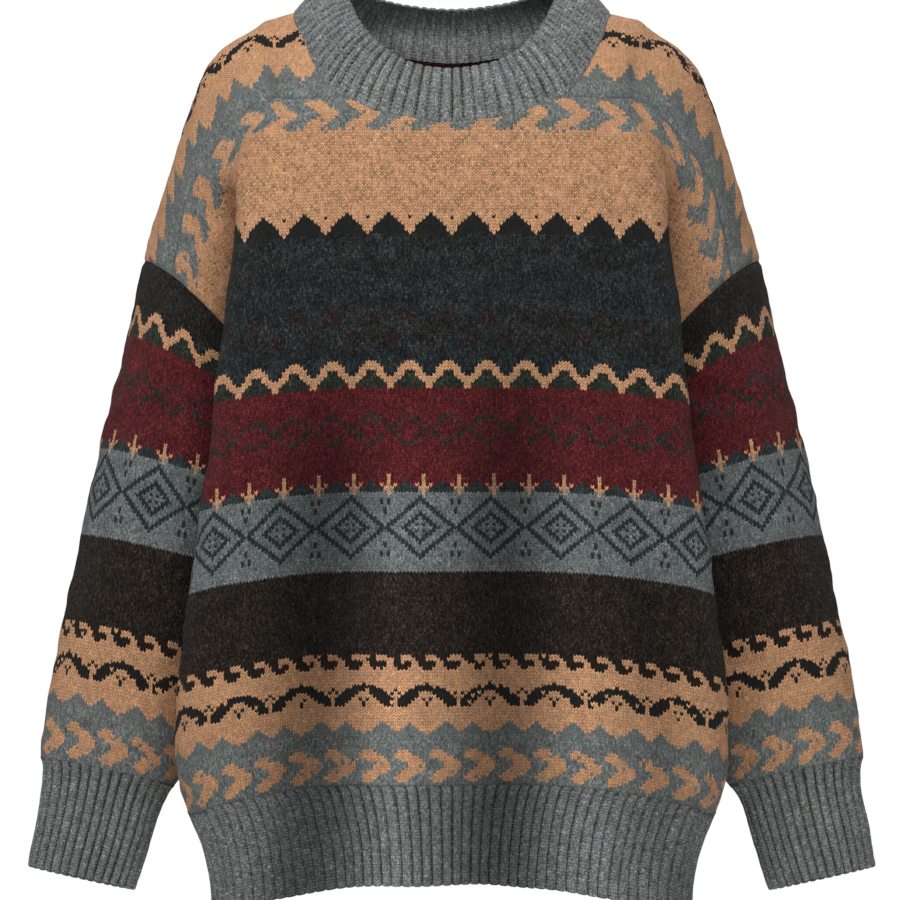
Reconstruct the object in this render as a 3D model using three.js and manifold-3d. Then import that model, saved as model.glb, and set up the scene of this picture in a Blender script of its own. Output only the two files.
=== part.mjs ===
// Striped pullover with a crew neck and dropped shoulders, standing hollow as it is worn, arms down.
// Pieces: front, back, two sleeves, ribbed neckband, hem rib and two cuffs, and a tape inside the back neck.
// Millimetres, +Z up, the front faces -Y. The origin is midway between the two points where the neck meets
// the shoulders: the wearer carries the pullover there.
import * as THREE from "three";
import { mergeVertices } from "three/addons/utils/BufferGeometryUtils.js";
import Module from "manifold-3d";

const wasm = await Module();
wasm.setup();

// ---- driving sizes ----------------------------------------------------------------------------------
const seamGap = 0.3; // between two sewn pieces
const knitWall = 3; // jacquard panels and sleeves
const ribWall = 4; // hem and cuffs
const bandWall = 5; // neckband, knitted double
const bandBulge = 5; // how far the neckband rounds out between seam and rim

const hem = { depth: 77, drawIn: 19 };
const tape = { height: 11, wall: 1, halfWidth: 86, clear: 1.5 };

const sideSeamY = 5;
const midArm = 75; // from the armhole up to the middle of the upper arm
const midArmNarrower = 0.08; // the upper arm is this much narrower there

// Where the sleeve is sewn to the body: a tilted ring round the upper arm. "out" points away from the
// body and "front" towards the front; angle 0 is the outermost point and 180 the underarm, which is scooped.
const armhole = {
  centre: new THREE.Vector3(196.8, 5, -221.2),
  out: new THREE.Vector3(46.5, 0, 32),
  front: new THREE.Vector3(0, -68, 7),
  scoop: 22,
  upArm: new THREE.Vector3(-0.229, 0, 0.973),
};

// Rows of the body, from the front hem over the shoulders to the back hem. Every row runs across the body
// from the centre line to its edge: the side seam below the underarm, the armhole above it.
// z is its height at the centre, droop how far it falls towards the fold beside the arm and y its depth at
// the centre. fold, valley and flank are x, y pairs, or x, y, z where a height is given. edge is the x of the
// side seam and peak the height it reaches under the arm.
const armpit = { below: [146, -37, -257], front: [153, -36, -254], back: [153, 45, -254], behind: [146, 43, -257] };
const frontRows = [
  { z: -596, droop: 24, y: -117, fold: [200, -76], valley: [206, -46], flank: [206, -20], edge: 204 },
  { z: -560, droop: 24, y: -122, fold: [211, -84], valley: [212, -56], flank: [205, -26], edge: 200 },
  { z: -500, droop: 21, y: -124, fold: [212, -90], valley: [203, -62], flank: [182, -32], edge: 174 },
  { z: -400, droop: 17, y: -124, fold: [199, -94], valley: [184, -67], flank: [159, -37], edge: 150 },
  { z: -318, droop: 13, y: -123, fold: [187, -95], valley: [169, -68], flank: [136, -38], edge: 128 },
  { z: -262, droop: 13, y: -122, fold: [181, -94], valley: [164, -67], flank: armpit.below, edge: 141, peak: -263 },
];
// Above the underarm the row turns down the arm behind the fold. flankAngle and endAngle are places round
// the arm, the first at the middle of the upper arm and the second at the armhole.
const shoulderRows = [
  { z: -222, droop: 12, y: -121, fold: [176, -92], valley: [162, -66, -243], flank: armpit.front, endAngle: 180 },
  { z: -160, droop: 9, y: -118, fold: [168, -90], valley: [162, -68, -174], flankAngle: 125, endAngle: 128 },
  { z: -100, droop: 5, y: -108, fold: [162, -84], valley: [168, -74, -118], flankAngle: 82, endAngle: 88 },
  { z: -62, droop: 3, y: -92, fold: [144, -64], valley: [166, -60, -78], flankAngle: 58, endAngle: 60 },
  { z: 17, droop: 24, y: -4, fold: [156, -2], valley: [193, -1, -37], flankAngle: 2, endAngle: 0 },
  { z: -12, droop: 18, y: 68, fold: [150, 52], valley: [178, 48, -58], flankAngle: -50, endAngle: -48 },
  { z: -62, droop: 6, y: 90, fold: [152, 76], valley: [172, 68, -84], flankAngle: -78, endAngle: -78 },
  { z: -102, droop: 6, y: 99, fold: [162, 86], valley: [168, 72, -122], flankAngle: -98, endAngle: -100 },
  { z: -162, droop: 9, y: 104, fold: [168, 92], valley: [163, 72, -178], flankAngle: -128, endAngle: -132 },
  { z: -224, droop: 12, y: 106, fold: [175, 94], valley: [162, 70, -245], flank: armpit.back, endAngle: -180 },
];
const backRows = [
  { z: -262, droop: 13, y: 106, fold: [180, 95], valley: [164, 71], flank: armpit.behind, edge: 141, peak: -263 },
  { z: -318, droop: 13, y: 106, fold: [185, 96], valley: [169, 72], flank: [136, 44], edge: 128 },
  { z: -400, droop: 17, y: 104, fold: [196, 93], valley: [184, 69], flank: [159, 42], edge: 150 },
  { z: -500, droop: 21, y: 104, fold: [208, 87], valley: [202, 62], flank: [182, 38], edge: 174 },
  { z: -560, droop: 24, y: 103, fold: [207, 80], valley: [210, 56], flank: [205, 34], edge: 200 },
  { z: -596, droop: 24, y: 99, fold: [197, 70], valley: [204, 50], flank: [205, 28], edge: 204 },
];
const shoulderSeamRow = 9; // the front meets the back here, forward of the top of the shoulder
const underarmRows = [6, 15];
const edge = 6; // places across a row go from 0 at the centre to this at its edge, and below 0 on the right

// Soft folds of the body: side -1 is the front. x at the top and the bottom, the heights it runs between,
// its half width and how far it goes in.
const bodyFolds = [
  { side: -1, x: [-98, -114], z: [-250, -640], halfWidth: 26, depth: 7 },
  { side: -1, x: [26, 32], z: [-270, -650], halfWidth: 30, depth: 8 },
  { side: -1, x: [128, 150], z: [-330, -600], halfWidth: 22, depth: 4 },
  { side: 1, x: [-120, -136], z: [-230, -600], halfWidth: 28, depth: 7 },
  { side: 1, x: [-16, -34], z: [-330, -650], halfWidth: 32, depth: 7 },
  { side: 1, x: [84, 112], z: [-200, -630], halfWidth: 28, depth: 8 },
];

// The neckline, from the centre of the front to the centre of the back: a point close to the seam, which is
// moved on to the cloth, and the point of the band's rim above it.
const neckline = [
  { seam: [0, -105, -83], rim: [0, -84, -41.5] },
  { seam: [45, -103, -77], rim: [33, -81, -36] },
  { seam: [76, -94, -66], rim: [51, -74, -26] },
  { seam: [93, -82, -55], rim: [62, -65, -15] },
  { seam: [107, -60, -34], rim: [72, -48, -1] },
  { seam: [120, -26, -6], rim: [80, -24, 16] },
  { seam: [123, 0, 7], rim: [85, -2, 26] },
  { seam: [113, 32, 4], rim: [80, 22, 27] },
  { seam: [88, 52, -3], rim: [65, 41, 23] },
  { seam: [48, 68, -12], rim: [37, 56, 17] },
  { seam: [0, 74, -18], rim: [0, 62, 14] },
];
// Sections of a sleeve, from the armhole to the cuff: the outermost point, half its width across, the rise
// of the section towards the outside, half its depth and the depth of its middle.
const sleeveSections = [
  { outX: 243.3, outZ: -189.2, half: 46.5, rise: 0.688, depth: 68, y: 5, scoop: 22 },
  { outX: 253, outZ: -236, half: 58, rise: 0.54, depth: 66, y: 4, scoop: 10 },
  { outX: 267, outZ: -290, half: 63, rise: 0.38, depth: 63, y: 2, scoop: 3 },
  { outX: 280, outZ: -350, half: 65, rise: 0.28, depth: 59, y: 0, scoop: 0 },
  { outX: 294, outZ: -410, half: 66, rise: 0.23, depth: 54, y: -3, scoop: 0 },
  { outX: 308, outZ: -480, half: 65, rise: 0.23, depth: 48, y: -8, scoop: 0 },
  { outX: 319, outZ: -533, half: 61, rise: 0.24, depth: 42, y: -12, scoop: 0 },
  { outX: 325, outZ: -566, half: 56, rise: 0.23, depth: 36, y: -15, scoop: 0 },
  { outX: 322.5, outZ: -578.7, half: 52.5, rise: 0.21, depth: 33, y: -16, scoop: 0 },
];
const cuffSections = [
  { outX: 322.5, outZ: -579, half: 52.5, rise: 0.21, depth: 33, y: -16, scoop: 0 },
  { outX: 327, outZ: -620, half: 47.5, rise: 0.22, depth: 29, y: -18, scoop: 0 },
  { outX: 333.5, outZ: -664, half: 42.5, rise: 0.225, depth: 26, y: -20, scoop: 0 },
];

// ---- curves -----------------------------------------------------------------------------------------
const radians = THREE.MathUtils.degToRad;

// A value on the smooth curve through a list of numbers, at place t counted in list places.
function through(values, t) {
  const last = values.length - 1;
  const i = Math.min(Math.max(Math.floor(t), 0), last - 1);
  const f = t - i;
  const [b, c] = [values[i], values[i + 1]];
  const a = i > 0 ? values[i - 1] : 2 * b - c;
  const d = i + 1 < last ? values[i + 2] : 2 * c - b;
  const bend = f * (3 * (b - c) + d - a) + 2 * a - 5 * b + 4 * c - d;
  return b + 0.5 * f * (c - a + f * bend);
}

function pointThrough(points, t) {
  return new THREE.Vector3(
    through(points.map((p) => p.x), t),
    through(points.map((p) => p.y), t),
    through(points.map((p) => p.z), t),
  );
}

// A point on the upper arm, "up" mm above the armhole, at an angle round the arm.
function onArm(angle, up) {
  const narrower = 1 - midArmNarrower * (up / midArm);
  const underside = (1 - Math.cos(radians(angle))) / 2;
  const point = armhole.centre
    .clone()
    .addScaledVector(armhole.upArm, up)
    .addScaledVector(armhole.out, Math.cos(radians(angle)) * narrower)
    .addScaledVector(armhole.front, Math.sin(radians(angle)) * narrower);
  point.z -= armhole.scoop * underside ** 2 * (1 - up / midArm);
  return point;
}

// The seven points that a row of the body is drawn through, centre to edge.
function rowPoints(row) {
  const forward = row.y < 0 ? 1 : -1;
  const foldZ = row.z - row.droop;
  const at = (pair) => new THREE.Vector3(pair[0], pair[1], pair[2] || foldZ);
  return [
    new THREE.Vector3(0, row.y, row.z),
    new THREE.Vector3(row.fold[0] * 0.5, row.y + forward * 1.5, row.z - row.droop * 0.06),
    new THREE.Vector3(row.fold[0] * 0.87, (row.y * 2 + row.fold[1]) / 3, row.z - row.droop * 0.6),
    at(row.fold),
    at(row.valley),
    row.flankAngle === undefined ? at(row.flank) : onArm(row.flankAngle, midArm),
    row.endAngle === undefined ? at([row.edge, sideSeamY, row.peak]) : onArm(row.endAngle, 0),
  ];
}

const bodyRows = [...frontRows, ...shoulderRows, ...backRows].map(rowPoints);
const lastRow = bodyRows.length - 1;

// A point of the body's cloth at row t, place s across.
function bodyPoint(t, s) {
  const columns = bodyRows[0].map((_, i) => pointThrough(bodyRows.map((row) => row[i]), t));
  const mirrored = columns.slice(1).map((p) => new THREE.Vector3(-p.x, p.y, p.z)).reverse();
  const point = pointThrough([...mirrored, ...columns], s + edge);
  for (const fold of bodyFolds) {
    if (fold.side * point.y < 30) continue;
    const along = (point.z - fold.z[0]) / (fold.z[1] - fold.z[0]);
    if (along <= 0 || along >= 1) continue;
    const x = fold.x[0] + (fold.x[1] - fold.x[0]) * along;
    const near = Math.exp(-(((point.x - x) / fold.halfWidth) ** 2));
    point.y -= fold.side * fold.depth * near * Math.sin(Math.PI * along);
  }
  return point;
}

function bodyNormal(t, s) {
  const step = 0.02;
  const along = bodyPoint(t, Math.min(s + step, edge)).sub(bodyPoint(t, Math.max(s - step, -edge)));
  const up = bodyPoint(Math.min(t + step, lastRow), s).sub(bodyPoint(Math.max(t - step, 0), s));
  return along.cross(up).normalize();
}

// The place, as row and part across, whose point is nearest to a target, starting from a guess.
function placeNear(target, guess) {
  const place = [...guess];
  const step = 0.01;
  for (let round = 0; round < 12; round++) {
    const here = bodyPoint(...place);
    const alongRow = bodyPoint(place[0] + step, place[1]).sub(here).divideScalar(step);
    const alongAcross = bodyPoint(place[0], place[1] + step).sub(here).divideScalar(step);
    const miss = target.clone().sub(here);
    const [a, b, c] = [alongRow.dot(alongRow), alongRow.dot(alongAcross), alongAcross.dot(alongAcross)];
    const [d, e] = [alongRow.dot(miss), alongAcross.dot(miss)];
    const share = a * c - b * b;
    place[0] += (0.7 * (d * c - e * b)) / share;
    place[1] += (0.7 * (e * a - d * b)) / share;
  }
  return place;
}

// ---- walls ------------------------------------------------------------------------------------------
function meshOf(points, faces) {
  const geometry = new THREE.BufferGeometry();
  geometry.setAttribute("position", new THREE.Float32BufferAttribute(points.flatMap((p) => p.toArray()), 3));
  geometry.setIndex(faces);
  return geometry;
}

// A panel: a grid of outer points and the same grid moved inwards, joined round the edge.
function panelWall(outer, inner) {
  const [tall, wide] = [outer.length, outer[0].length];
  const points = [...outer.flat(), ...inner.flat()];
  const at = (layer, i, j) => layer * tall * wide + i * wide + j;
  const faces = [];
  const quad = (a, b, c, d) => faces.push(a, b, c, a, c, d);
  for (let i = 0; i + 1 < tall; i++) {
    for (let j = 0; j + 1 < wide; j++) {
      quad(at(0, i, j), at(0, i, j + 1), at(0, i + 1, j + 1), at(0, i + 1, j));
      quad(at(1, i, j), at(1, i + 1, j), at(1, i + 1, j + 1), at(1, i, j + 1));
    }
    quad(at(0, i, 0), at(0, i + 1, 0), at(1, i + 1, 0), at(1, i, 0));
    quad(at(0, i + 1, wide - 1), at(0, i, wide - 1), at(1, i, wide - 1), at(1, i + 1, wide - 1));
  }
  for (let j = 0; j + 1 < wide; j++) {
    quad(at(0, 0, j), at(1, 0, j), at(1, 0, j + 1), at(0, 0, j + 1));
    quad(at(0, tall - 1, j), at(0, tall - 1, j + 1), at(1, tall - 1, j + 1), at(1, tall - 1, j));
  }
  return meshOf(points, faces);
}

// A tube of cloth: closed sections of points, one for each step round it.
function ringWall(sections) {
  const [around, corners] = [sections.length, sections[0].length];
  const at = (i, j) => (i % around) * corners + (j % corners);
  const faces = [];
  for (let i = 0; i < around; i++)
    for (let j = 0; j < corners; j++)
      faces.push(at(i, j), at(i + 1, j), at(i + 1, j + 1), at(i, j), at(i + 1, j + 1), at(i, j + 1));
  return meshOf(sections.flat(), faces);
}

function solidOf(geometry) {
  const bare = mergeVertices(geometry, 1e-4);
  const shape = { numProp: 3, vertProperties: bare.attributes.position.array, triVerts: bare.index.array };
  return new wasm.Manifold(new wasm.Mesh(shape));
}

function geometryOf(solid) {
  const mesh = solid.getMesh();
  const geometry = new THREE.BufferGeometry();
  geometry.setAttribute("position", new THREE.Float32BufferAttribute(mesh.vertProperties, 3));
  geometry.setIndex(Array.from(mesh.triVerts));
  return geometry;
}

// ---- front and back ---------------------------------------------------------------------------------
const acrossHalf = [0.6, 1.2, 1.8, 2.2, 2.6, 3, 3.5, 4, 4.4, 4.8, 5.2, 5.6, edge];
const across = [...acrossHalf.map((s) => -s).reverse(), 0, ...acrossHalf];

// Places between the rows from first to last, where each pair of rows has its own number of steps.
function rowSteps(first, counts) {
  return [first, ...counts.flatMap((n, i) => Array.from({ length: n }, (_, k) => first + i + (k + 1) / n))];
}

const frontSteps = rowSteps(0, [2, 2, 1, 1, 2, 2, 3, 2, 2]);
const backSteps = rowSteps(shoulderSeamRow, [4, 4, 3, 2, 2, 3, 2, 2, 1, 1, 2, 2]);
const armholeAngles = [...frontSteps, ...backSteps.slice(1)]
  .filter((t) => t >= underarmRows[0] && t < underarmRows[1])
  .map(endAngleAt);

// The angle round the armhole where row t ends.
function endAngleAt(t) {
  return through(shoulderRows.map((row) => row.endAngle), t - underarmRows[0]);
}

// Outer and inner points of the body at the given rows. The edge at the armhole is moved inwards along the
// ring itself, so that the sleeve's end lies flat against it, and the hem edge stays level.
function bodyPanel(steps, shift) {
  const outer = [];
  const inner = [];
  for (const t of steps) {
    const rowOut = [];
    const rowIn = [];
    for (const s of across) {
      const point = bodyPoint(t, s);
      const normal = bodyNormal(t, s);
      if (Math.abs(s) === edge && t >= underarmRows[0] && t <= underarmRows[1]) {
        const angle = endAngleAt(t);
        point.copy(onArm(angle, 0));
        normal.copy(armhole.out).multiplyScalar(Math.cos(radians(angle)));
        normal.addScaledVector(armhole.front, Math.sin(radians(angle))).normalize();
        if (s < 0) [point, normal].forEach((v) => v.setX(-v.x));
      } else if (Math.abs(s) === edge) normal.setY(0).normalize();
      if (t === 0 || t === lastRow) normal.setZ(0).normalize();
      shift(point, t, s);
      rowOut.push(point);
      rowIn.push(point.clone().addScaledVector(normal, -knitWall));
    }
    outer.push(rowOut);
    inner.push(rowIn);
  }
  return solidOf(panelWall(outer, inner));
}

// The panels stop half a gap short of the side seams and of the shoulder seams. Direction is -1 for the
// front and 1 for the back.
function seamGaps(direction) {
  return (point, t, s) => {
    const belowUnderarm = t <= underarmRows[0] || t >= underarmRows[1];
    if (Math.abs(s) === edge && belowUnderarm) point.y = sideSeamY + (direction * seamGap) / 2;
    if (t !== shoulderSeamRow) return;
    const onwards = bodyPoint(t + 0.02, s).sub(bodyPoint(t - 0.02, s));
    point.add(onwards.setLength((direction * seamGap * 1.4) / 2));
  };
}

// ---- neckline ---------------------------------------------------------------------------------------
// Stations round the neck, from the centre front over the left shoulder: the place on the cloth, the seam,
// the rim above it, the outward normal of the cloth and the way along the cloth into the opening.
function neckStations(steps) {
  let place = [shoulderSeamRow - 0.5, 0.1];
  const half = neckline.map(({ seam, rim }) => {
    place = placeNear(new THREE.Vector3(...seam), place);
    return { row: place[0], across: seam[0] === 0 ? 0 : place[1], rim };
  });
  const flipped = half.slice(1, -1).map(({ row, across, rim }) => {
    return { row, across: -across, rim: [-rim[0], rim[1], rim[2]] };
  });
  const ring = [...half, ...flipped.reverse()];
  const round = (values, t) => through([...values.slice(-3), ...values, ...values.slice(0, 3)], t + 3);
  const stations = [];
  for (let k = 0; k < steps; k++) {
    const t = (k / steps) * ring.length;
    const at = [round(ring.map((entry) => entry.row), t), round(ring.map((entry) => entry.across), t)];
    const rim = new THREE.Vector3(...[0, 1, 2].map((i) => round(ring.map((entry) => entry.rim[i]), t)));
    stations.push({ place: at, rim, seam: bodyPoint(...at), normal: bodyNormal(...at) });
  }
  stations.forEach((station, k) => {
    const along = stations[(k + 1) % steps].seam.clone().sub(stations.at(k - 1).seam);
    station.inwards = station.normal.clone().cross(along).normalize();
  });
  return stations;
}

const stations = neckStations(48);

// What the neckline cuts out of the panels: a plug whose side stands square to the cloth at the seam.
function neckPlug() {
  const reach = 5;
  const points = [new THREE.Vector3(0, -30, 95), new THREE.Vector3(0, 0, -75)];
  for (const { seam, normal } of stations) {
    points.push(seam.clone().addScaledVector(normal, reach));
    points.push(seam.clone().addScaledVector(normal, -reach));
  }
  const faces = [];
  for (let k = 0; k < stations.length; k++) {
    const [high, low] = [2 + 2 * k, 3 + 2 * k];
    const next = (k + 1) % stations.length;
    const [nextHigh, nextLow] = [2 + 2 * next, 3 + 2 * next];
    faces.push(0, high, nextHigh, high, low, nextLow, high, nextLow, nextHigh, 1, nextLow, low);
  }
  return solidOf(meshOf(points, faces));
}

const plug = neckPlug();
const frontPanel = bodyPanel(frontSteps, seamGaps(-1)).subtract(plug);
const backPanel = bodyPanel(backSteps, seamGaps(1)).subtract(plug);

// ---- sleeves and cuffs ------------------------------------------------------------------------------
function sectionRing(list, t) {
  const column = (name) => through(list.map((section) => section[name]), t);
  const [half, rise, depth] = [column("half"), column("rise"), column("depth")];
  const centre = new THREE.Vector3(column("outX") - half, column("y"), column("outZ") - half * rise);
  return {
    centre,
    out: new THREE.Vector3(half, 0, half * rise),
    front: new THREE.Vector3(0, -depth, depth * 0.103),
    scoop: column("scoop"),
  };
}

function ringPoint(ring, angle, inwards) {
  const across = ring.out.clone().multiplyScalar(Math.cos(angle));
  const forward = ring.front.clone().multiplyScalar(Math.sin(angle));
  const spoke = across.add(forward);
  const point = ring.centre.clone().add(spoke.setLength(spoke.length() - inwards));
  point.z -= ring.scoop * ((1 - Math.cos(angle)) / 2) ** 2;
  return point;
}

// A sleeve or cuff on the left arm (+X), from sections. It turns at the angles where the body's rows end.
function armTube(list, wall, steps, startGap) {
  const rings = [];
  for (let i = 0; i <= steps; i++) rings.push(sectionRing(list, (i / steps) * (list.length - 1)));
  rings[0].centre.addScaledVector(armhole.upArm, -startGap);
  const sections = [];
  for (const degrees of armholeAngles) {
    const angle = radians(degrees);
    const outside = rings.map((ring) => ringPoint(ring, angle, 0));
    const inside = rings.map((ring) => ringPoint(ring, angle, wall)).reverse();
    sections.push([...outside, ...inside]);
  }
  return ringWall(sections.reverse());
}

function mirrored(geometry) {
  const copy = geometry.clone();
  const positions = copy.attributes.position;
  for (let i = 0; i < positions.count; i++) positions.setX(i, -positions.getX(i));
  const index = copy.index.array;
  for (let i = 0; i < index.length; i += 3) [index[i + 1], index[i + 2]] = [index[i + 2], index[i + 1]];
  return copy;
}

const sleeve = armTube(sleeveSections, knitWall, 9, seamGap);
const cuff = armTube(cuffSections, ribWall, 2, 0);

// ---- hem rib ----------------------------------------------------------------------------------------
// The rib hangs from the body's last row and draws it in.
function hemRib() {
  const places = across.filter((s) => Math.abs(s) < edge);
  const ringOf = (t) => places.map((s) => bodyPoint(t, s));
  const top = [...ringOf(0), bodyPoint(0, edge), ...ringOf(lastRow).reverse(), bodyPoint(0, -edge)].reverse();
  const depths = [seamGap, hem.depth * 0.4, hem.depth];
  const sections = top.map((point) => {
    const spoke = new THREE.Vector3(point.x, point.y, 0);
    const level = (drop, wall) => {
      const share = drop / hem.depth;
      const drawn = hem.drawIn * share * (2 - share) + wall;
      const moved = spoke.clone().setLength(spoke.length() - drawn);
      return new THREE.Vector3(moved.x, moved.y, point.z - drop);
    };
    const outside = depths.map((drop) => level(drop, 0));
    const inside = depths.map((drop) => level(drop, ribWall)).reverse();
    return [...outside, ...inside];
  });
  return ringWall(sections);
}

// ---- neckband and tape ------------------------------------------------------------------------------
function neckband() {
  const steps = 4;
  const sections = stations.map(({ seam, rim, normal, inwards }) => {
    const foot = seam.clone().addScaledVector(inwards, seamGap * 1.6);
    const rise = rim.clone().sub(foot);
    const outwards = normal.clone().projectOnPlane(rise.clone().normalize()).normalize();
    const side = (offset) => {
      const points = [foot.clone().addScaledVector(normal, offset - (bandWall - knitWall) / 2)];
      for (let i = 1; i <= steps; i++) {
        const share = i / steps;
        const bow = bandBulge * Math.sin(Math.PI * share) + offset;
        points.push(foot.clone().addScaledVector(rise, share).addScaledVector(outwards, bow));
      }
      return points;
    };
    return [...side(bandWall / 2), ...side(-bandWall / 2).reverse()];
  });
  return ringWall(sections);
}

// The tape lies on the inside of the back panel, just under the neck seam.
function neckTape() {
  const back = stations.filter(({ seam }) => seam.y > 20 && Math.abs(seam.x) < tape.halfWidth);
  const rowsPerMm = 1 / bodyPoint(11.2, 0).distanceTo(bodyPoint(12.2, 0));
  const layer = (depth) =>
    [1, 0.5, 0].map((share) =>
      back.map(({ place }) => {
        const [row, across] = [place[0] + (1 + tape.height * share) * rowsPerMm, place[1]];
        return bodyPoint(row, across).addScaledVector(bodyNormal(row, across), -depth);
      }),
    );
  const clear = knitWall + tape.clear;
  return panelWall(layer(clear), layer(clear + tape.wall));
}

// ---- the pullover -----------------------------------------------------------------------------------
const finishes = {
  jacquard: new THREE.MeshStandardMaterial({ color: 0x6b5a4c, roughness: 0.95, metalness: 0 }),
  greyRib: new THREE.MeshStandardMaterial({ color: 0x6d7474, roughness: 0.95, metalness: 0 }),
  tape: new THREE.MeshStandardMaterial({ color: 0x4a1f22, roughness: 0.9, metalness: 0 }),
};

const pullover = new THREE.Group();
function piece(name, geometry, material) {
  const mesh = new THREE.Mesh(geometry, material);
  mesh.name = name;
  pullover.add(mesh);
}

piece("front_panel", geometryOf(frontPanel), finishes.jacquard);
piece("back_panel", geometryOf(backPanel), finishes.jacquard);
piece("sleeve_left", sleeve, finishes.jacquard);
piece("sleeve_right", mirrored(sleeve), finishes.jacquard);
piece("cuff_left", cuff, finishes.greyRib);
piece("cuff_right", mirrored(cuff), finishes.greyRib);
piece("hem_rib", hemRib(), finishes.greyRib);
piece("neckband", neckband(), finishes.greyRib);
piece("neck_tape", neckTape(), finishes.tape);

export default pullover;
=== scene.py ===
import math

import bmesh
import bpy
import numpy as np
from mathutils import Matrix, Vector


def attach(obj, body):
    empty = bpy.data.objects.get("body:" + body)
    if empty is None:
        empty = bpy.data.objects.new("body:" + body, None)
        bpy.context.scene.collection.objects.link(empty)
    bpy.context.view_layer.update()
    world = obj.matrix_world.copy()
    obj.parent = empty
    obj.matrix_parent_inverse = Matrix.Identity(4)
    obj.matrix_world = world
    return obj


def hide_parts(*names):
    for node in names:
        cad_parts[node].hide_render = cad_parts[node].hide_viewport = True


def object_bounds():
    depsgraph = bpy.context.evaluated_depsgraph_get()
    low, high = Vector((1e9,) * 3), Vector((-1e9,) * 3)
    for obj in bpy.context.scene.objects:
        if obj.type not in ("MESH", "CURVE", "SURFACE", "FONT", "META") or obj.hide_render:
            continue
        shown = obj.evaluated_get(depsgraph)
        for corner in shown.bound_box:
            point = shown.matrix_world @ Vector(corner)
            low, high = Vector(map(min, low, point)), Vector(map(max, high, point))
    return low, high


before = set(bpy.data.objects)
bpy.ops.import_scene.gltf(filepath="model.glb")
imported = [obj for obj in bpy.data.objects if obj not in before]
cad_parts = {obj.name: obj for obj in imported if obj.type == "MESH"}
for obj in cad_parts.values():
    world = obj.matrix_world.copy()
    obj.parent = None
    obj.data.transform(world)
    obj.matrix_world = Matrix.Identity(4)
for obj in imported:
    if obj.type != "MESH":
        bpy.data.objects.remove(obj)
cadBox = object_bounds()
print("frame loaded:", len(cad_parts), "nodes")

# Sizes are in millimetres; makePiece turns them into metres.
# +Z is up, the front faces -Y, and the wearer's left arm is at +X.

gauge = {
    "stitch": 2.7,  # width of a stitch
    "row": 2.35,  # height of a row
    "sleeveRow": 2.53,  # the sleeves hang a little stretched, up to the row where the next begins
    "sleeveUpper": (98, 2.3),  # that row, and the height of the rows above it
    "step": 3.1,  # size of a mesh cell on the panels
    "backStep": 1.05,  # the back's cells are this much taller, which keeps it below 200,000 triangles
}


def curveWeights(count, place):  # the second of the four values round each place, and their weights
    i = np.clip(np.floor(place).astype(int), 0, count - 2)
    f = place - i
    return i, (
        0.5 * (2 * f**2 - f - f**3),
        0.5 * (2 - 5 * f**2 + 3 * f**3),
        0.5 * (f + 4 * f**2 - 3 * f**3),
        0.5 * (f**3 - f**2),
    )


def padEnds(values):
    return np.concatenate([2 * values[:1] - values[1:2], values, 2 * values[-1:] - values[-2:-1]])


def through(values, place):  # the smooth curve through a list of values, at places counted along it
    values, place = np.asarray(values, float), np.asarray(place, float)
    i, weights = curveWeights(len(values), place)
    padded = padEnds(values)
    shape = place.shape + (1,) * (values.ndim - 1)
    return sum(w.reshape(shape) * padded[i + k] for k, w in enumerate(weights))


def unit(vectors):
    return vectors / np.linalg.norm(vectors, axis=-1, keepdims=True)


def lengthsAlong(points):  # running length along each line of a grid's second axis
    steps = np.linalg.norm(np.diff(points, axis=1), axis=-1)
    return np.concatenate([np.zeros((len(points), 1)), np.cumsum(steps, axis=1)], axis=1)


def bell(x):
    return np.exp(-(x**2))


# The ring where a sleeve is sewn on: angle 0 is its outermost point, 90 the front and 180 the underarm.
armhole = {
    "centre": (196.8, 5, -221.2),
    "out": (46.5, 0, 32),
    "front": (0, -68, 7),
    "scoop": 22,  # how far the ring hangs down under the arm
    "upArm": (-0.229, 0, 0.973),
    "middle": 75,  # from the armhole up to the ring that a flank's angle counts round
    "narrower": 0.08,  # that ring is smaller by this share
}

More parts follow.
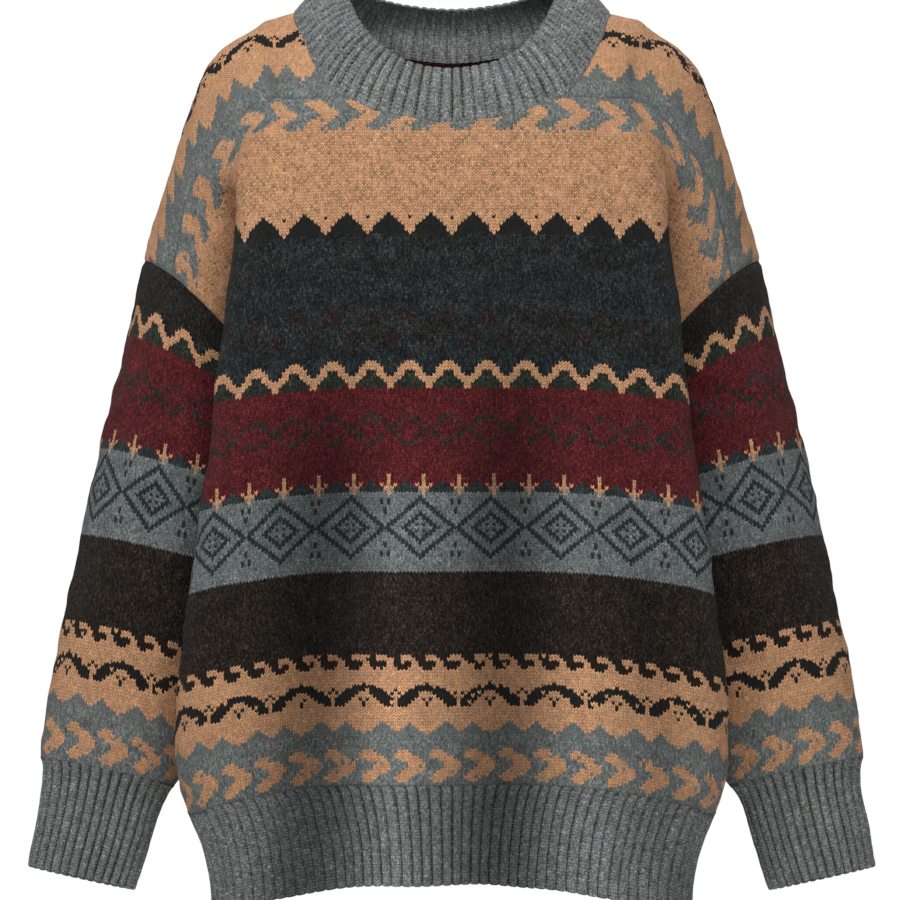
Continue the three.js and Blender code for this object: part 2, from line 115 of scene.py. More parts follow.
# Rows across the body, from the front hem over the shoulders to the back hem: height at the centre,
# how far the row droops towards the fold beside the arm, depth at the centre, then x and y of the fold,
# valley and flank, and x of the edge; one number more is a height of the point's own. In arm rows the
# edge is an angle round the arm instead, and so is the flank in most of them.
body = {
    "front": [
        (-596, 24, -117, (200, -76), (206, -46), (206, -20), (204,)),
        (-560, 24, -122, (211, -84), (212, -56), (205, -26), (200,)),
        (-500, 21, -124, (212, -90), (203, -62), (182, -32), (174,)),
        (-400, 17, -124, (199, -94), (184, -67), (159, -37), (150,)),
        (-318, 13, -123, (187, -95), (169, -68), (136, -38), (128,)),
        (-262, 13, -122, (181, -94), (164, -67), (146, -37, -257), (141, -263)),
    ],
    "arm": [
        (-222, 12, -121, (176, -92), (162, -66, -243), (153, -36, -254), 180),
        (-160, 9, -118, (168, -90), (162, -68, -174), 125, 128),
        (-100, 5, -108, (162, -84), (168, -74, -118), 82, 88),
        (-62, 3, -92, (144, -64), (166, -60, -78), 58, 60),
        (17, 24, -4, (156, -2), (193, -1, -37), 2, 0),
        (-12, 18, 68, (150, 52), (178, 48, -58), -50, -48),
        (-62, 6, 90, (152, 76), (172, 68, -84), -78, -78),
        (-102, 6, 99, (162, 86), (168, 72, -122), -98, -100),
        (-162, 9, 104, (168, 92), (163, 72, -178), -128, -132),
        (-224, 12, 106, (175, 94), (162, 70, -245), (153, 45, -254), -180),
    ],
    "back": [
        (-262, 13, 106, (180, 95), (164, 71), (146, 43, -257), (141, -263)),
        (-318, 13, 106, (185, 96), (169, 72), (136, 44), (128,)),
        (-400, 17, 104, (196, 93), (184, 69), (159, 42), (150,)),
        (-500, 21, 104, (208, 87), (202, 62), (182, 38), (174,)),
        (-560, 24, 103, (207, 80), (210, 56), (205, 34), (200,)),
        (-596, 24, 99, (197, 70), (204, 50), (205, 28), (204,)),
    ],
    "sideSeamY": 5,
    "wall": 3,
    "seamRow": 9,  # front and back meet here, forward of the top of the shoulder
    "underarm": (6, 15),  # between these rows the edge follows the armhole's ring
    "easedOver": 14,  # the panel is eased to that ring over this width
    "chest": (0.5, 1.5, 0.06),  # share of the way out to the fold, how much flatter, share of the droop
    "side": (0.87, 0.6),  # share of the way out, share of the droop
}
edge = 6  # places across a row go from 0 at the centre to this at its edge, and below 0 on the right
lastRow = 21

# Soft folds of the body: side -1 is the front; x at the top and at the hem, the height where it begins
# and the one where it is full, half width and depth. A depth below zero is a ridge.
bodyFolds = [
    (-1, (-90, -114), (-250, -400), 33, 19),
    (-1, (-40, -48), (-280, -430), 26, -6),
    (-1, (50, 38), (-210, -400), 32, 18),
    (-1, (88, 106), (-290, -430), 22, -4),
    (-1, (146, 170), (-360, -520), 18, 6),
    (1, (-112, -136), (-230, -400), 32, 15),
    (1, (-62, -56), (-300, -430), 26, -5),
    (1, (-10, -34), (-300, -470), 30, 14),
    (1, (84, 118), (-190, -380), 30, 16),
    (1, (150, 140), (-380, -520), 18, 6),
]
foldEnd = -673  # the height that counts as the hem
foldInset = 20  # the folds keep this far in front of the middle of the side, or behind it
fullyShadedFold = 18  # the depth of fold that gets the whole painted shade


def onArm(angle, up):  # a point of the upper arm, "up" above the armhole
    angle = np.radians(np.asarray(angle, float))[..., None]
    narrower = 1 - armhole["narrower"] * up / armhole["middle"]
    across = np.array(armhole["out"]) * np.cos(angle) + np.array(armhole["front"]) * np.sin(angle)
    point = np.array(armhole["centre"]) + np.array(armhole["upArm"]) * up + across * narrower
    underside = (1 - np.cos(angle[..., 0])) / 2
    point[..., 2] -= armhole["scoop"] * underside**2 * (1 - up / armhole["middle"])
    return point


def rowPoints(z, droop, y, fold, valley, flank, end):  # seven points of a row, from its centre to its edge
    low = z - droop
    inwards = 1 if y < 0 else -1
    chestOut, flatter, chestDroop = body["chest"]
    sideOut, sideDroop = body["side"]
    if not isinstance(flank, tuple):
        flank = onArm(flank, armhole["middle"])
    if isinstance(end, tuple):
        end = (end[0], body["sideSeamY"], (*end, low)[1])
    else:
        end = onArm(end, 0)
    return [
        (0, y, z),
        (fold[0] * chestOut, y + inwards * flatter, z - droop * chestDroop),
        (fold[0] * sideOut, (y * 2 + fold[1]) / 3, z - droop * sideDroop),
        *[(*point, low)[:3] for point in (fold, valley, flank, end)],
    ]


halfNet = np.array([rowPoints(*row) for part in ("front", "arm", "back") for row in body[part]])
bodyNet = np.concatenate([(halfNet * (-1, 1, 1))[:, :0:-1], halfNet], axis=1)
armAngles = [row[-1] for row in body["arm"]]
paddedNet = padEnds(np.moveaxis(padEnds(bodyNet), 1, 0)).swapaxes(0, 1)


def foldDepth(point):  # how far the folds draw the cloth in
    total = np.zeros(point.shape[:-1])
    for side, x, z, halfWidth, depth in bodyFolds:
        begun = np.clip((point[..., 2] - z[0]) / (z[1] - z[0]), 0, 1)
        centre = x[0] + (x[1] - x[0]) * np.clip((point[..., 2] - z[0]) / (foldEnd - z[0]), 0, 1)
        near = bell((point[..., 0] - centre) / halfWidth) * begun**2 * (3 - 2 * begun)
        total += np.where(side * point[..., 1] > foldInset, depth * near, 0)
    return total


def bodyPoint(row, across, folded=True):
    row, across = np.broadcast_arrays(np.asarray(row, float), np.asarray(across, float))
    i, rowWeights = curveWeights(bodyNet.shape[0], row)
    j, acrossWeights = curveWeights(bodyNet.shape[1], across + edge)
    point = sum(
        (a * b)[..., None] * paddedNet[i + m, j + n]
        for m, a in enumerate(rowWeights)
        for n, b in enumerate(acrossWeights)
    )
    if folded:
        point[..., 1] -= np.sign(point[..., 1]) * foldDepth(point)
    return point


def bodyNormal(row, across, step=0.02):
    along = bodyPoint(row, np.minimum(across + step, edge)) - bodyPoint(row, np.maximum(across - step, -edge))
    up = bodyPoint(np.minimum(row + step, lastRow), across) - bodyPoint(np.maximum(row - step, 0), across)
    return unit(np.cross(along, up))


# Tables over the cloth: length across from the centre line, and length up from the hem. They leave the
# folds out, so the stitches spread a little where the cloth dips.
perRow, perPlace = 12, 14  # table cells to a row and to a place
tableRows = np.linspace(0, lastRow, lastRow * perRow + 1)
tablePlaces = np.linspace(-edge, edge, 2 * edge * perPlace + 1)
tablePoints = bodyPoint(tableRows[:, None], tablePlaces[None, :], folded=False)
centreLine = edge * perPlace
acrossTable = lengthsAlong(tablePoints)
acrossTable -= acrossTable[:, [centreLine]]
upTable = lengthsAlong(tablePoints.swapaxes(0, 1)).T


def readTable(table, row, across):
    beforeEnd = 1.001  # readings stop just before the last line
    i = np.clip(np.asarray(row) * perRow, 0, len(tableRows) - beforeEnd)
    j = np.clip((np.asarray(across) + edge) * perPlace, 0, len(tablePlaces) - beforeEnd)
    i0, j0 = i.astype(int), j.astype(int)
    f, g = i - i0, j - j0
    near = table[i0, j0] * (1 - g) + table[i0, j0 + 1] * g
    far = table[i0 + 1, j0] * (1 - g) + table[i0 + 1, j0 + 1] * g
    return near * (1 - f) + far * f


# Millimetres of knitting above the hem seam, as the stripes count them. The front ends at the shoulder
# seam; the back goes on over the shoulder, where it keeps its true length beside the seam.
knitted = {"frontUnderarm": 374, "front": 536, "backUnderarm": 372, "back": 702, "trueLength": 60}
underarmFront, underarmBack = (row * perRow for row in body["underarm"])
seamLine = body["seamRow"] * perRow


def frontHeights():
    heights = np.zeros_like(upTable)
    lower = upTable[: underarmFront + 1, centreLine]
    heights[: underarmFront + 1] = (lower / lower[-1] * knitted["frontUnderarm"])[:, None]
    start = upTable[underarmFront]
    share = (upTable[underarmFront : seamLine + 1] - start) / (upTable[seamLine] - start)
    yoke = knitted["front"] - knitted["frontUnderarm"]
    heights[underarmFront : seamLine + 1] = knitted["frontUnderarm"] + yoke * share
    return heights


def backHeights():
    past = upTable[seamLine : underarmBack + 1] - upTable[seamLine]
    kept = knitted["trueLength"]
    below = knitted["back"] - knitted["backUnderarm"] - kept
    squeezed = kept + below * (past - kept) / (past[-1] - kept)
    upper = knitted["back"] - np.where(past < kept, past, squeezed)
    lower = upTable[-1, centreLine] - upTable[underarmBack:, centreLine]
    lower = np.repeat((lower / lower[0] * knitted["backUnderarm"])[:, None], upTable.shape[1], axis=1)
    return np.concatenate([np.zeros_like(upTable[:seamLine]), upper, lower[1:]])


heightTable = {"front": frontHeights(), "back": backHeights()}


def makePiece(name, points, stitches, wall=0, dropColumn=None, wrap=False):
    # points and stitches are grids, rows by columns; wall is the cloth's thickness, put inside; the faces
    # of dropColumn, between the halves of a panel, are left out; wrap is for a grid that closes on itself
    tall, wide = points.shape[:2]
    mesh = bpy.data.meshes.new(name)
    bm = bmesh.new()
    bmesh.ops.create_grid(bm, x_segments=wide - 1, y_segments=tall - 1, size=1)
    bm.verts.ensure_lookup_table()
    flatPoints = points.reshape(-1, 3) * 0.001
    flatStitches = stitches.reshape(-1, 2)
    uvLayer = bm.loops.layers.uv.new("stitches")
    order = {}
    for vert in bm.verts:
        column = round((vert.co.x + 1) / 2 * (wide - 1))
        row = round((vert.co.y + 1) / 2 * (tall - 1))
        order[vert] = row * wide + column
    dropped = []
    for face in bm.faces:
        for loop in face.loops:
            loop[uvLayer].uv = flatStitches[order[loop.vert]]
        if dropColumn is not None and min(order[v] % wide for v in face.verts) == dropColumn:
            dropped.append(face)
    for vert, index in order.items():
        vert.co = flatPoints[index]
    if dropped:
        bmesh.ops.delete(bm, geom=dropped, context="FACES")
    bmesh.ops.remove_doubles(bm, verts=bm.verts, dist=1e-6)
    bmesh.ops.dissolve_degenerate(bm, edges=bm.edges, dist=1e-7)
    if wrap:
        bmesh.ops.recalc_face_normals(bm, faces=bm.faces)
    for face in bm.faces:
        face.smooth = True
    bm.to_mesh(mesh)
    bm.free()
    piece = bpy.data.objects.new(name, mesh)
    bpy.context.scene.collection.objects.link(piece)
    if wall:
        shell = piece.modifiers.new("wall", "SOLIDIFY")
        shell.thickness = wall * 0.001
        shell.offset = -1
        shell.use_even_offset = False
    return piece


seamRoll = {  # how the cloth turns in at a seam
    "width": 2.6,
    "depth": 1.5,
    "fine": (4.2, 3, 2, 1),  # the last mesh lines lie this far before it
    "calm": 14,  # and a panel's lumps end this far before it
}


def evenSteps(length, step):  # distances along a line, with finer ones before the seam at its end
    first, *closer = seamRoll["fine"]
    plain = length - first
    count = max(2, round(plain / step))
    return np.array([*np.linspace(0, plain, count + 1), *[length - rest for rest in closer], length])


lumps = {  # size, depth and seed of the large lumps and of the small ones
    "panels": ((34, 0.7, 3), (13, 0.25, 4)),
    "sleeves": ((36, 0.8, 5), (13, 0.25, 6)),
}
waves = {"count": 9, "shortest": 0.7, "longest": 1.6}  # lengths as shares of a lump's size


def uneven(points, size, depth, seed):  # a quiet unevenness, made of a few crossing waves
    draw = np.random.default_rng(seed)
    total = np.zeros(points.shape[:-1])
    for _ in range(waves["count"]):
        way = unit(draw.normal(size=3))
        way = way * (2 * math.pi / (size * draw.uniform(waves["shortest"], waves["longest"])))
        total += np.sin(points @ way + draw.uniform(0, 2 * math.pi))
    return total * depth / math.sqrt(waves["count"])


def placesAt(row, lengths):  # places across the given row at these lengths from the centre line
    line = readTable(acrossTable, np.full(len(tablePlaces), row), tablePlaces)
    return np.interp(lengths, line, tablePlaces)


evenAlong = 3.0  # the mesh cells of a panel are even along this row, and up the line at this place


def halfFractions():  # shares of the way from the centre line to the edge
    whole = readTable(acrossTable, evenAlong, float(edge))
    return evenSteps(whole, gauge["step"]) / whole


def levelsAt(heights, side, rows):  # the rows that lie at these heights of a panel
    line = readTable(heightTable[side], rows, np.full(len(rows), evenAlong))
    if side == "back":  # its heights run the other way
        line, rows = line[::-1], rows[::-1]
    return np.interp(heights, line, rows)


# From the centre of the front to the centre of the back: a point close to the seam, which is moved on
# to the cloth, and the rim of the band above it.
neckline = [
    ((0, -105, -83), (0, -84, -41.5)),
    ((45, -103, -77), (33, -81, -36)),
    ((76, -94, -66), (51, -74, -26)),
    ((93, -82, -55), (62, -65, -15)),
    ((107, -60, -34), (72, -48, -1)),
    ((120, -26, -6), (80, -24, 16)),
    ((123, 0, 7), (85, -2, 26)),
    ((113, 32, 4), (80, 22, 27)),
    ((88, 52, -3), (65, 41, 23)),
    ((48, 68, -12), (37, 56, 17)),
    ((0, 74, -18), (0, 62, 14)),
]


def placeNear(target, guess, step=0.01, share=0.7, tries=12):  # the place on the cloth nearest to a point
    place = np.array(guess, float)
    for _ in range(tries):
        here = bodyPoint(*place)
        alongRow = (bodyPoint(place[0] + step, place[1]) - here) / step
        alongAcross = (bodyPoint(place[0], place[1] + step) - here) / step
        ways = np.array([alongRow, alongAcross])
        place += share * np.linalg.solve(ways @ ways.T, ways @ (np.array(target) - here))
    return place


neckStart = (8.5, 0.1)  # the search for the first point begins at this row and place


def neckRing():
    place, half = neckStart, []
    for seam, rim in neckline:
        place = placeNear(seam, place)
        half.append((place[0], 0 if seam[0] == 0 else place[1], *rim))
    half = np.array(half)
    mirrored = half[-2:0:-1] * (1, -1, -1, 1, 1)
    return np.concatenate([half, mirrored])


neckStations = neckRing()


def roundNeck(share):  # row, place across and rim at shares of the way round the neck
    before, after = neckStations[-3:], neckStations[:4]
    ring = np.concatenate([before, neckStations, after])
    return through(ring, share * len(neckStations) + len(before))


neckCurve = roundNeck(np.linspace(0, 0.5, 400))
pastSeam = 0.4  # rows by which each panel's curve of the neck runs on past the shoulder seam
frontNeck = neckCurve[neckCurve[:, 0] < body["seamRow"] + pastSeam]
backNeck = neckCurve[neckCurve[:, 0] > body["seamRow"] - pastSeam]
backNeckEnd = neckCurve[-1, 0]
backNeckFine = (0.012, 0.04, 0)  # extra mesh lines lie this many rows before the end of the back's neck


def finishPanel(rows, places, side):  # points and stitches of a panel from its grid of places
    points = bodyPoint(rows, places)
    normals = bodyNormal(rows, places)
    across = readTable(acrossTable, rows, places)
    height = readTable(heightTable[side], rows, places)
    fromEdge = readTable(acrossTable, rows, np.full_like(places, edge)) - np.abs(across)
    armRows = np.clip(rows, *body["underarm"])
    ring = onArm(through(armAngles, armRows - body["underarm"][0]), 0)  # the edge is brought to this ring
    ring[..., 0] *= np.sign(places)
    miss = (ring - bodyPoint(rows, edge * np.sign(places))) * (armRows == rows)[..., None]
    points = points + miss * bell(fromEdge / body["easedOver"])[..., None]
    toSeam = np.abs(height - knitted[side])
    roll = np.maximum(bell(fromEdge / seamRoll["width"]), bell(toSeam / seamRoll["width"]))
    calm = np.clip(np.minimum(height, fromEdge) / seamRoll["calm"], 0, 1)
    large, small = lumps["panels"]
    lift = (uneven(points, *large) + uneven(points, *small)) * calm - roll * seamRoll["depth"]
    points = points + normals * lift[..., None]
    stitches = np.stack([across / gauge["stitch"] + 0.5, height / gauge["row"]], axis=-1)
    return points, stitches


def makeFront():
    half = halfFractions()
    fractions = np.concatenate([-half[::-1], half])
    heights = evenSteps(knitted["front"], gauge["step"])
    armRow, seamRow = body["underarm"][0], body["seamRow"]
    rows, places = [], []
    for level in levelsAt(heights, "front", tableRows[: seamLine + 1]):
        whole = readTable(acrossTable, level, float(edge))
        across = placesAt(level, fractions * whole)
        neck = np.interp(np.abs(across), frontNeck[:, 1], frontNeck[:, 0], right=seamRow)
        top = np.minimum(seamRow, neck)
        share = np.clip((level - armRow) / (seamRow - armRow), 0, 1)
        rows.append(np.where(share > 0, armRow + share * (top - armRow), level))
        places.append(across)
    points, stitches = finishPanel(np.array(rows), np.array(places), "front")
    return makePiece("front", points, stitches, body["wall"], len(half) - 1)


def makeBack():
    half = halfFractions()
    heights = evenSteps(knitted["back"], gauge["step"] * gauge["backStep"])
    levels = levelsAt(heights, "back", tableRows[seamLine:])
    levels = np.sort(np.append(levels, [backNeckEnd - before for before in backNeckFine]))
    rows, places = [], []
    for level in levels:
        whole = readTable(acrossTable, level, float(edge))
        start = np.interp(level, backNeck[:, 0], backNeck[:, 1], right=0) if level < backNeckEnd else 0
        start = readTable(acrossTable, level, start)
        lengths = start + half * (whole - start)
        places.append(placesAt(level, np.concatenate([-lengths[::-1], lengths])))
        rows.append(np.full(len(places[-1]), level))
    points, stitches = finishPanel(np.array(rows), np.array(places), "back")
    return makePiece("back", points, stitches, body["wall"], len(half) - 1)


front = makeFront()
back = makeBack()
print("front and back made:", len(front.data.polygons), len(back.data.polygons))


# From the armhole to the cuff: x and z of the outermost point, half the width across, the rise of the
# section towards the outside, half its depth, the depth of its middle, and the scoop under the arm.
sleeve = {
    "sections": [
        (243.3, -189.2, 46.5, 0.688, 68, 5, 22),
        (253, -236, 58, 0.54, 66, 4, 10),
        (267, -290, 63, 0.38, 63, 2, 3),
        (280, -350, 65, 0.28, 59, 0, 0),
        (294, -410, 66, 0.23, 54, -3, 0),
        (308, -480, 65, 0.23, 48, -8, 0),
        (317.5, -533, 60.5, 0.24, 42, -12, 0),
        (321.5, -566, 55, 0.23, 36, -15, 0),
        (322.8, -578.7, 52.5, 0.21, 33, -16, 0),
    ],
    "wall": 3,
    "columns": 133,  # mesh lines that run along the arm
    "closest": 0.7,  # the lines round the arm are further apart than this
    "calm": (24, 14),  # the creases end this far from the armhole and from the cuff
    "moved": (9, 6, 7),  # the left arm's creases are moved up and forwards by this, and its lumps down
}
frontRise = 0.103  # the sections of sleeves and cuffs rise towards the front by this slope


def sectionPoint(sections, place, angle):  # angles in degrees; place is counted in sections
    outX, outZ, half, rise, depth, y, scoop = np.moveaxis(through(sections, place), -1, 0)
    angle = np.radians(angle)
    across, forward = half * np.cos(angle), depth * np.sin(angle)
    underside = (1 - np.cos(angle)) / 2
    x = outX - half + across
    z = outZ - half * rise + across * rise + forward * frontRise - scoop * underside**2
    return np.stack([x, y - forward, z], axis=-1)


def tubeNormals(points):  # outward, if columns run rightwards and rows upwards; the last repeats the first
    ring = np.concatenate([points[:, -2:-1], points, points[:, 1:2]], axis=1)
    along = (ring[:, 2:] - ring[:, :-2]) / 2
    return unit(np.cross(along, np.gradient(points, axis=0)))


def resampled(points, count):  # the same lines, with their points evenly spaced
    lengths = lengthsAlong(points)
    even = np.linspace(0, 1, count)
    return np.array([
        [np.interp(even * run[-1], run, line[:, k]) for k in range(3)] for run, line in zip(lengths, points)
    ]).swapaxes(1, 2)


def stepsDown(length):  # distances down the sleeve, with finer ones at both of its seams
    steps = evenSteps(length, gauge["step"])
    steps = np.unique(np.round(np.concatenate([steps, length - steps]), 3))
    return steps[np.concatenate([[True], np.diff(steps) > sleeve["closest"]])]


def makeSleeve(side, name):
    sections = sleeve["sections"]
    fine = np.linspace(0, len(sections) - 1, 400)
    frontLine = sectionPoint(sections, fine[:, None], np.array([[90.0]]))[:, 0]
    run = lengthsAlong(frontLine[None])[0]
    steps = stepsDown(run[-1])
    angles = np.linspace(-180, 180, 721)
    lines = sectionPoint(sections, np.interp(steps, run, fine)[:, None], angles[None, :])
    points = resampled(lines, sleeve["columns"])
    points = points[::-1] * (side, 1, 1)
    if side > 0:  # columns run rightwards, seen from outside, and rows upwards
        points = points[:, ::-1]
    fromCuff = (run[-1] - steps)[::-1]
    fromArmhole = run[-1] - fromCuff
    across = lengthsAlong(points)
    across -= across[:, [sleeve["columns"] // 2]]
    roll = bell(fromArmhole / seamRoll["width"])[:, None]
    calm = np.clip(fromArmhole / sleeve["calm"][0], 0, 1)[:, None]
    lift = sleeveCreases(points, fromCuff[:, None], across, side) * calm - roll * seamRoll["depth"]
    points = points + tubeNormals(points) * lift[..., None]
    upperRow, upperHeight = gauge["sleeveUpper"]
    counted = np.minimum(fromCuff / gauge["sleeveRow"], upperRow)
    counted += np.maximum(fromCuff - upperRow * gauge["sleeveRow"], 0) / upperHeight
    rows = np.repeat(counted[:, None], points.shape[1], axis=1)
    stitches = np.stack([across / gauge["stitch"] + 0.5, rows], axis=-1)
    return makePiece(name, points, stitches, sleeve["wall"])


# Soft creases of the sleeves: height above the cuff, place round the arm (forward of its outer line is
# above zero), slant, half width, reach along the crease and depth. The right arm's are moved the other way.
sleeveFolds = [
    (34, 52, 0.30, 8, 40, 1.8),
    (78, 96, 0.42, 11, 46, 2.6),
    (128, -62, -0.35, 11, 60, 2.6),
    (166, 40, -0.24, 13, 52, 2.2),
    (214, 104, 0.38, 13, 50, 3.2),
    (236, -110, 0.30, 14, 60, 3.0),
    (278, 70, 0.50, 13, 46, 2.6),
    (322, 118, -0.50, 14, 44, 3.4),
    (330, -84, -0.32, 15, 60, 2.8),
]


def sleeveCreases(points, fromCuff, across, side):
    forward = -side * across
    movedUp, movedForward, lumpsDown = sleeve["moved"]
    large, small = lumps["sleeves"]
    lift = uneven(points * (side, 1, 1) + (0, 0, lumpsDown * side), *large) + uneven(points, *small)
    for height, around, slant, halfWidth, reach, depth in sleeveFolds:
        along = forward - around - movedForward * side
        near = bell((fromCuff - height - movedUp * side - slant * along) / halfWidth)
        lift = lift - depth * near * bell(along / reach)
    return lift * np.clip(fromCuff / sleeve["calm"][1], 0, 1)


sleeveLeft = makeSleeve(1, "sleeve_left_knit")
sleeveRight = makeSleeve(-1, "sleeve_right_knit")
print("sleeves made:", len(sleeveLeft.data.polygons))


# Phases across a rib run from one groove to the next, which is 1.
rib = {
    "phases": (0, 0.06, 0.13, 0.22, 0.35, 0.5, 0.65, 0.78, 0.87, 0.94),  # where its mesh lines run
    "groove": (2.4, 0.13),  # depth in mm and half width as a phase, outside
    "innerGroove": (1.6, 0.14),  # and inside, where it lies behind the rib
    "crown": 0.35,  # how round a rib is, as a share of the groove's depth
    "spread": (0.045, 0.28),  # how far the grooves stray in place and in depth
    "strength": (0.35, 1.5),  # the shallowest and the deepest that a groove may stray to
    "proud": 0.2,  # the cloth stands this far out at the seam
    "fade": 2,  # from the seam the grooves grow over this length, those inside over the next
    "innerFade": 3,
    "calm": 12,  # and the lumps over this
    "lumps": ((9, 0.16, 20), (40, 0.6, 30)),  # size, depth and seed, counted on from the piece's own
    "turns": (30, 62, 90, 118, 150),  # degrees of the mesh lines round the edge
    "edgeSunk": 0.35,  # how much of the grooves goes on round the edge
    "stitches": 3,
    "row": 2.35,
}


def ribLines(path, count, draw):  # phases of the mesh lines round the piece, and their shares of the way
    fine = np.linspace(0, 1, 2001)
    halfDown, _ = path(fine[None, :], np.array([[0.5]]))
    run = lengthsAlong(halfDown)[0]
    phases = (np.arange(count)[:, None] + np.array(rib["phases"])[None, :]).ravel()
    jitter = draw.normal(0, rib["spread"][0], count + 1)
    jitter[-1] = jitter[0]
    phases = np.append(phases, count)
    places = phases + np.interp(phases, np.arange(count + 1), jitter)
    shares = np.interp(places / count * run[-1] % run[-1], run, fine)
    shares[-1] = shares[0]
    return phases, shares[None, :]


def makeRib(name, path, size, seed):
    # path(share round, share down) gives the middle of the cloth and the way out
    count, wall, depth, facing = size["ribs"], size["wall"], size["depth"], size.get("facing", 0)
    outerRows, innerRows = size["rows"]
    draw = np.random.default_rng(seed)
    phases, roundShare = ribLines(path, count, draw)

    straight = 1 - wall / 2 / depth  # the rounded edge begins at this share down
    down = np.linspace(0, straight, outerRows)
    middle, out = path(roundShare, down[:, None])
    ends, endOut = path(roundShare, np.array([[straight]]))
    past, _ = path(roundShare, np.array([[straight + 0.01]]))
    onwards = unit(past - ends)[0]

    grooveDepth, grooveWidth = rib["groove"]
    fromGroove = np.minimum(phases % 1, 1 - phases % 1)
    stray = np.interp(phases, np.arange(count + 1), np.append(draw.normal(0, 1, count), 0))
    strength = np.clip(1 + rib["spread"][1] * stray, *rib["strength"])
    groove = bell(fromGroove / grooveWidth) * strength
    crown = rib["crown"] * (1 - 2 * fromGroove) ** 2
    fade = np.clip(down * depth / rib["fade"], 0, 1)[:, None]
    sunk = rib["proud"] - (grooveDepth * (groove + crown)[None, :] + rib["proud"]) * fade
    small, large = (uneven(middle, lump, deep, seed + more) for lump, deep, more in rib["lumps"])
    rough = (small + large) * np.clip(down * depth / rib["calm"], 0, 1)[:, None]
    outer = middle + out * (wall / 2 + sunk + rough)[..., None]

    innerDepth, innerWidth = rib["innerGroove"]
    innerDown = np.linspace(-facing / depth, straight, innerRows)
    innerMiddle, innerOut = path(roundShare, innerDown[:, None])
    ridge = bell((0.5 - fromGroove) / innerWidth)
    innerFade = np.clip((innerDown * depth + facing) / rib["innerFade"], 0, 1)[:, None]
    thickness = wall / 2 - innerDepth * ridge[None, :] * innerFade
    if facing:  # it keeps clear of the panel that it covers
        reach, room = size["clear"]
        thickness = thickness + np.clip(reach - innerDown, 0, reach)[:, None] / reach * room
    inner = innerMiddle - innerOut * thickness[..., None]

    turns = np.radians(rib["turns"])[:, None, None]
    radius = wall / 2 + sunk[-1][None, :, None] * rib["edgeSunk"] * (1 + np.cos(turns))
    lastRough = (out[-1] * rough[-1][:, None])[None]
    edgeRows = ends + lastRough + (endOut * np.cos(turns) + onwards[None] * np.sin(turns)) * radius
    grid = np.concatenate([outer, edgeRows, inner[::-1], outer[:1]])

    halfway = grid.shape[1] // 2  # the rows are counted along this line
    rows = -lengthsAlong(grid.swapaxes(0, 1)).T[:, [halfway]] / rib["row"]
    across = phases * rib["stitches"] + 0.5
    stitches = np.stack(np.broadcast_arrays(across[None, :], rows), axis=-1)
    return makePiece(name, grid, stitches, wrap=True)


hem = {
    "ribs": 130,
    "rows": (24, 10),  # mesh lines down the outside and the inside
    "depth": 77.5,
    "drawIn": 19,
    "wall": 4,
    "gap": 0.05,
    "dips": [(-122, 46, 2.5), (-30, 30, 1.2), (62, 30, 2), (130, 45, 4.5)],  # x, half width and drop
    "dipsBeyond": 60,  # the dips of the edge are whole this far in front of the middle, and behind it
}


def hemPath(share, down):
    place = share * 4 * edge
    row = np.where(place < 2 * edge, 0, lastRow)
    across = np.where(place < 2 * edge, place - edge, 3 * edge - place)
    top = bodyPoint(row, across)
    out = unit(top * (1, 1, 0))
    drawn = hem["drawIn"] * down * (2 - down) + hem["wall"] / 2
    point = top - out * drawn[..., None]
    dip = sum(drop * bell((top[..., 0] - x) / halfWidth) for x, halfWidth, drop in hem["dips"])
    dip = np.where(top[..., 1] < 0, dip, dip[..., ::-1])  # the back has the front's, turned round
    dip = dip * np.clip(np.abs(top[..., 1]) / hem["dipsBeyond"], 0, 1)
    point[..., 2] = top[..., 2] - down * (hem["depth"] + dip * down) - hem["gap"]
    return point, np.broadcast_to(out, point.shape)


cuff = {
    "ribs": 30,
    "rows": (28, 14),
    "sections": [  # columns as the sleeve's
        (322.8, -578.75, 52.5, 0.21, 33, -16, 0),
        (327, -620, 47.5, 0.22, 29, -18, 0),
        (333.5, -664, 42.5, 0.225, 26, -20, 0),
    ],
    "wall": 4,
    "depth": 86,
    "drawIn": 4,
}


def cuffPath(side):
    def path(share, down):
        angle = 180 - share * 360 if side > 0 else share * 360 - 180
        place, angle = np.broadcast_arrays(down * (len(cuff["sections"]) - 1), angle)
        point = sectionPoint(cuff["sections"], place, angle)
        ahead = sectionPoint(cuff["sections"], place, angle + 0.5)
        further = sectionPoint(cuff["sections"], place + 0.01, angle)
        out = unit(np.cross(ahead - point, further - point))
        waist = np.sin(math.pi * np.clip(down, 0, 1) ** 0.5) ** 2  # narrowest a quarter of the way down
        point = point - out * (cuff["drawIn"] * waist)[..., None]
        return (point - out * cuff["wall"] / 2) * (side, 1, 1), out * (side, 1, 1)

    return path


band = {
    "ribs": 79,
    "rows": (22, 24),
    "wall": 5,
    "bulge": 5,
    "gap": 0.3,
    "depth": 46,
    "facing": 11.5,  # it goes on this far below the seam inside, and covers it
    "clear": (0.3, 3.6),  # below this share of the way up the inside moves in, by this much at the seam
}


def bandPath(share, down):
    step = 0.002
    here, before, after = (roundNeck(np.ravel(share) + shift) for shift in (0, -step, step))
    seam, behind, ahead = (bodyPoint(ring[:, 0], ring[:, 1]) for ring in (here, before, after))
    normal = bodyNormal(here[:, 0], here[:, 1])
    inwards = unit(np.cross(normal, ahead - behind))
    foot = seam + inwards * band["gap"]
    rise = here[:, 2:] - foot
    way = unit(rise)
    out = unit(normal - way * np.sum(normal * way, axis=-1, keepdims=True))
    down = np.ravel(down)[:, None, None]
    bow = band["bulge"] * np.sin(math.pi * down)
    point = foot + rise * down + out * bow - normal * (1 - down) ** 2
    return point, np.broadcast_to(out, point.shape)


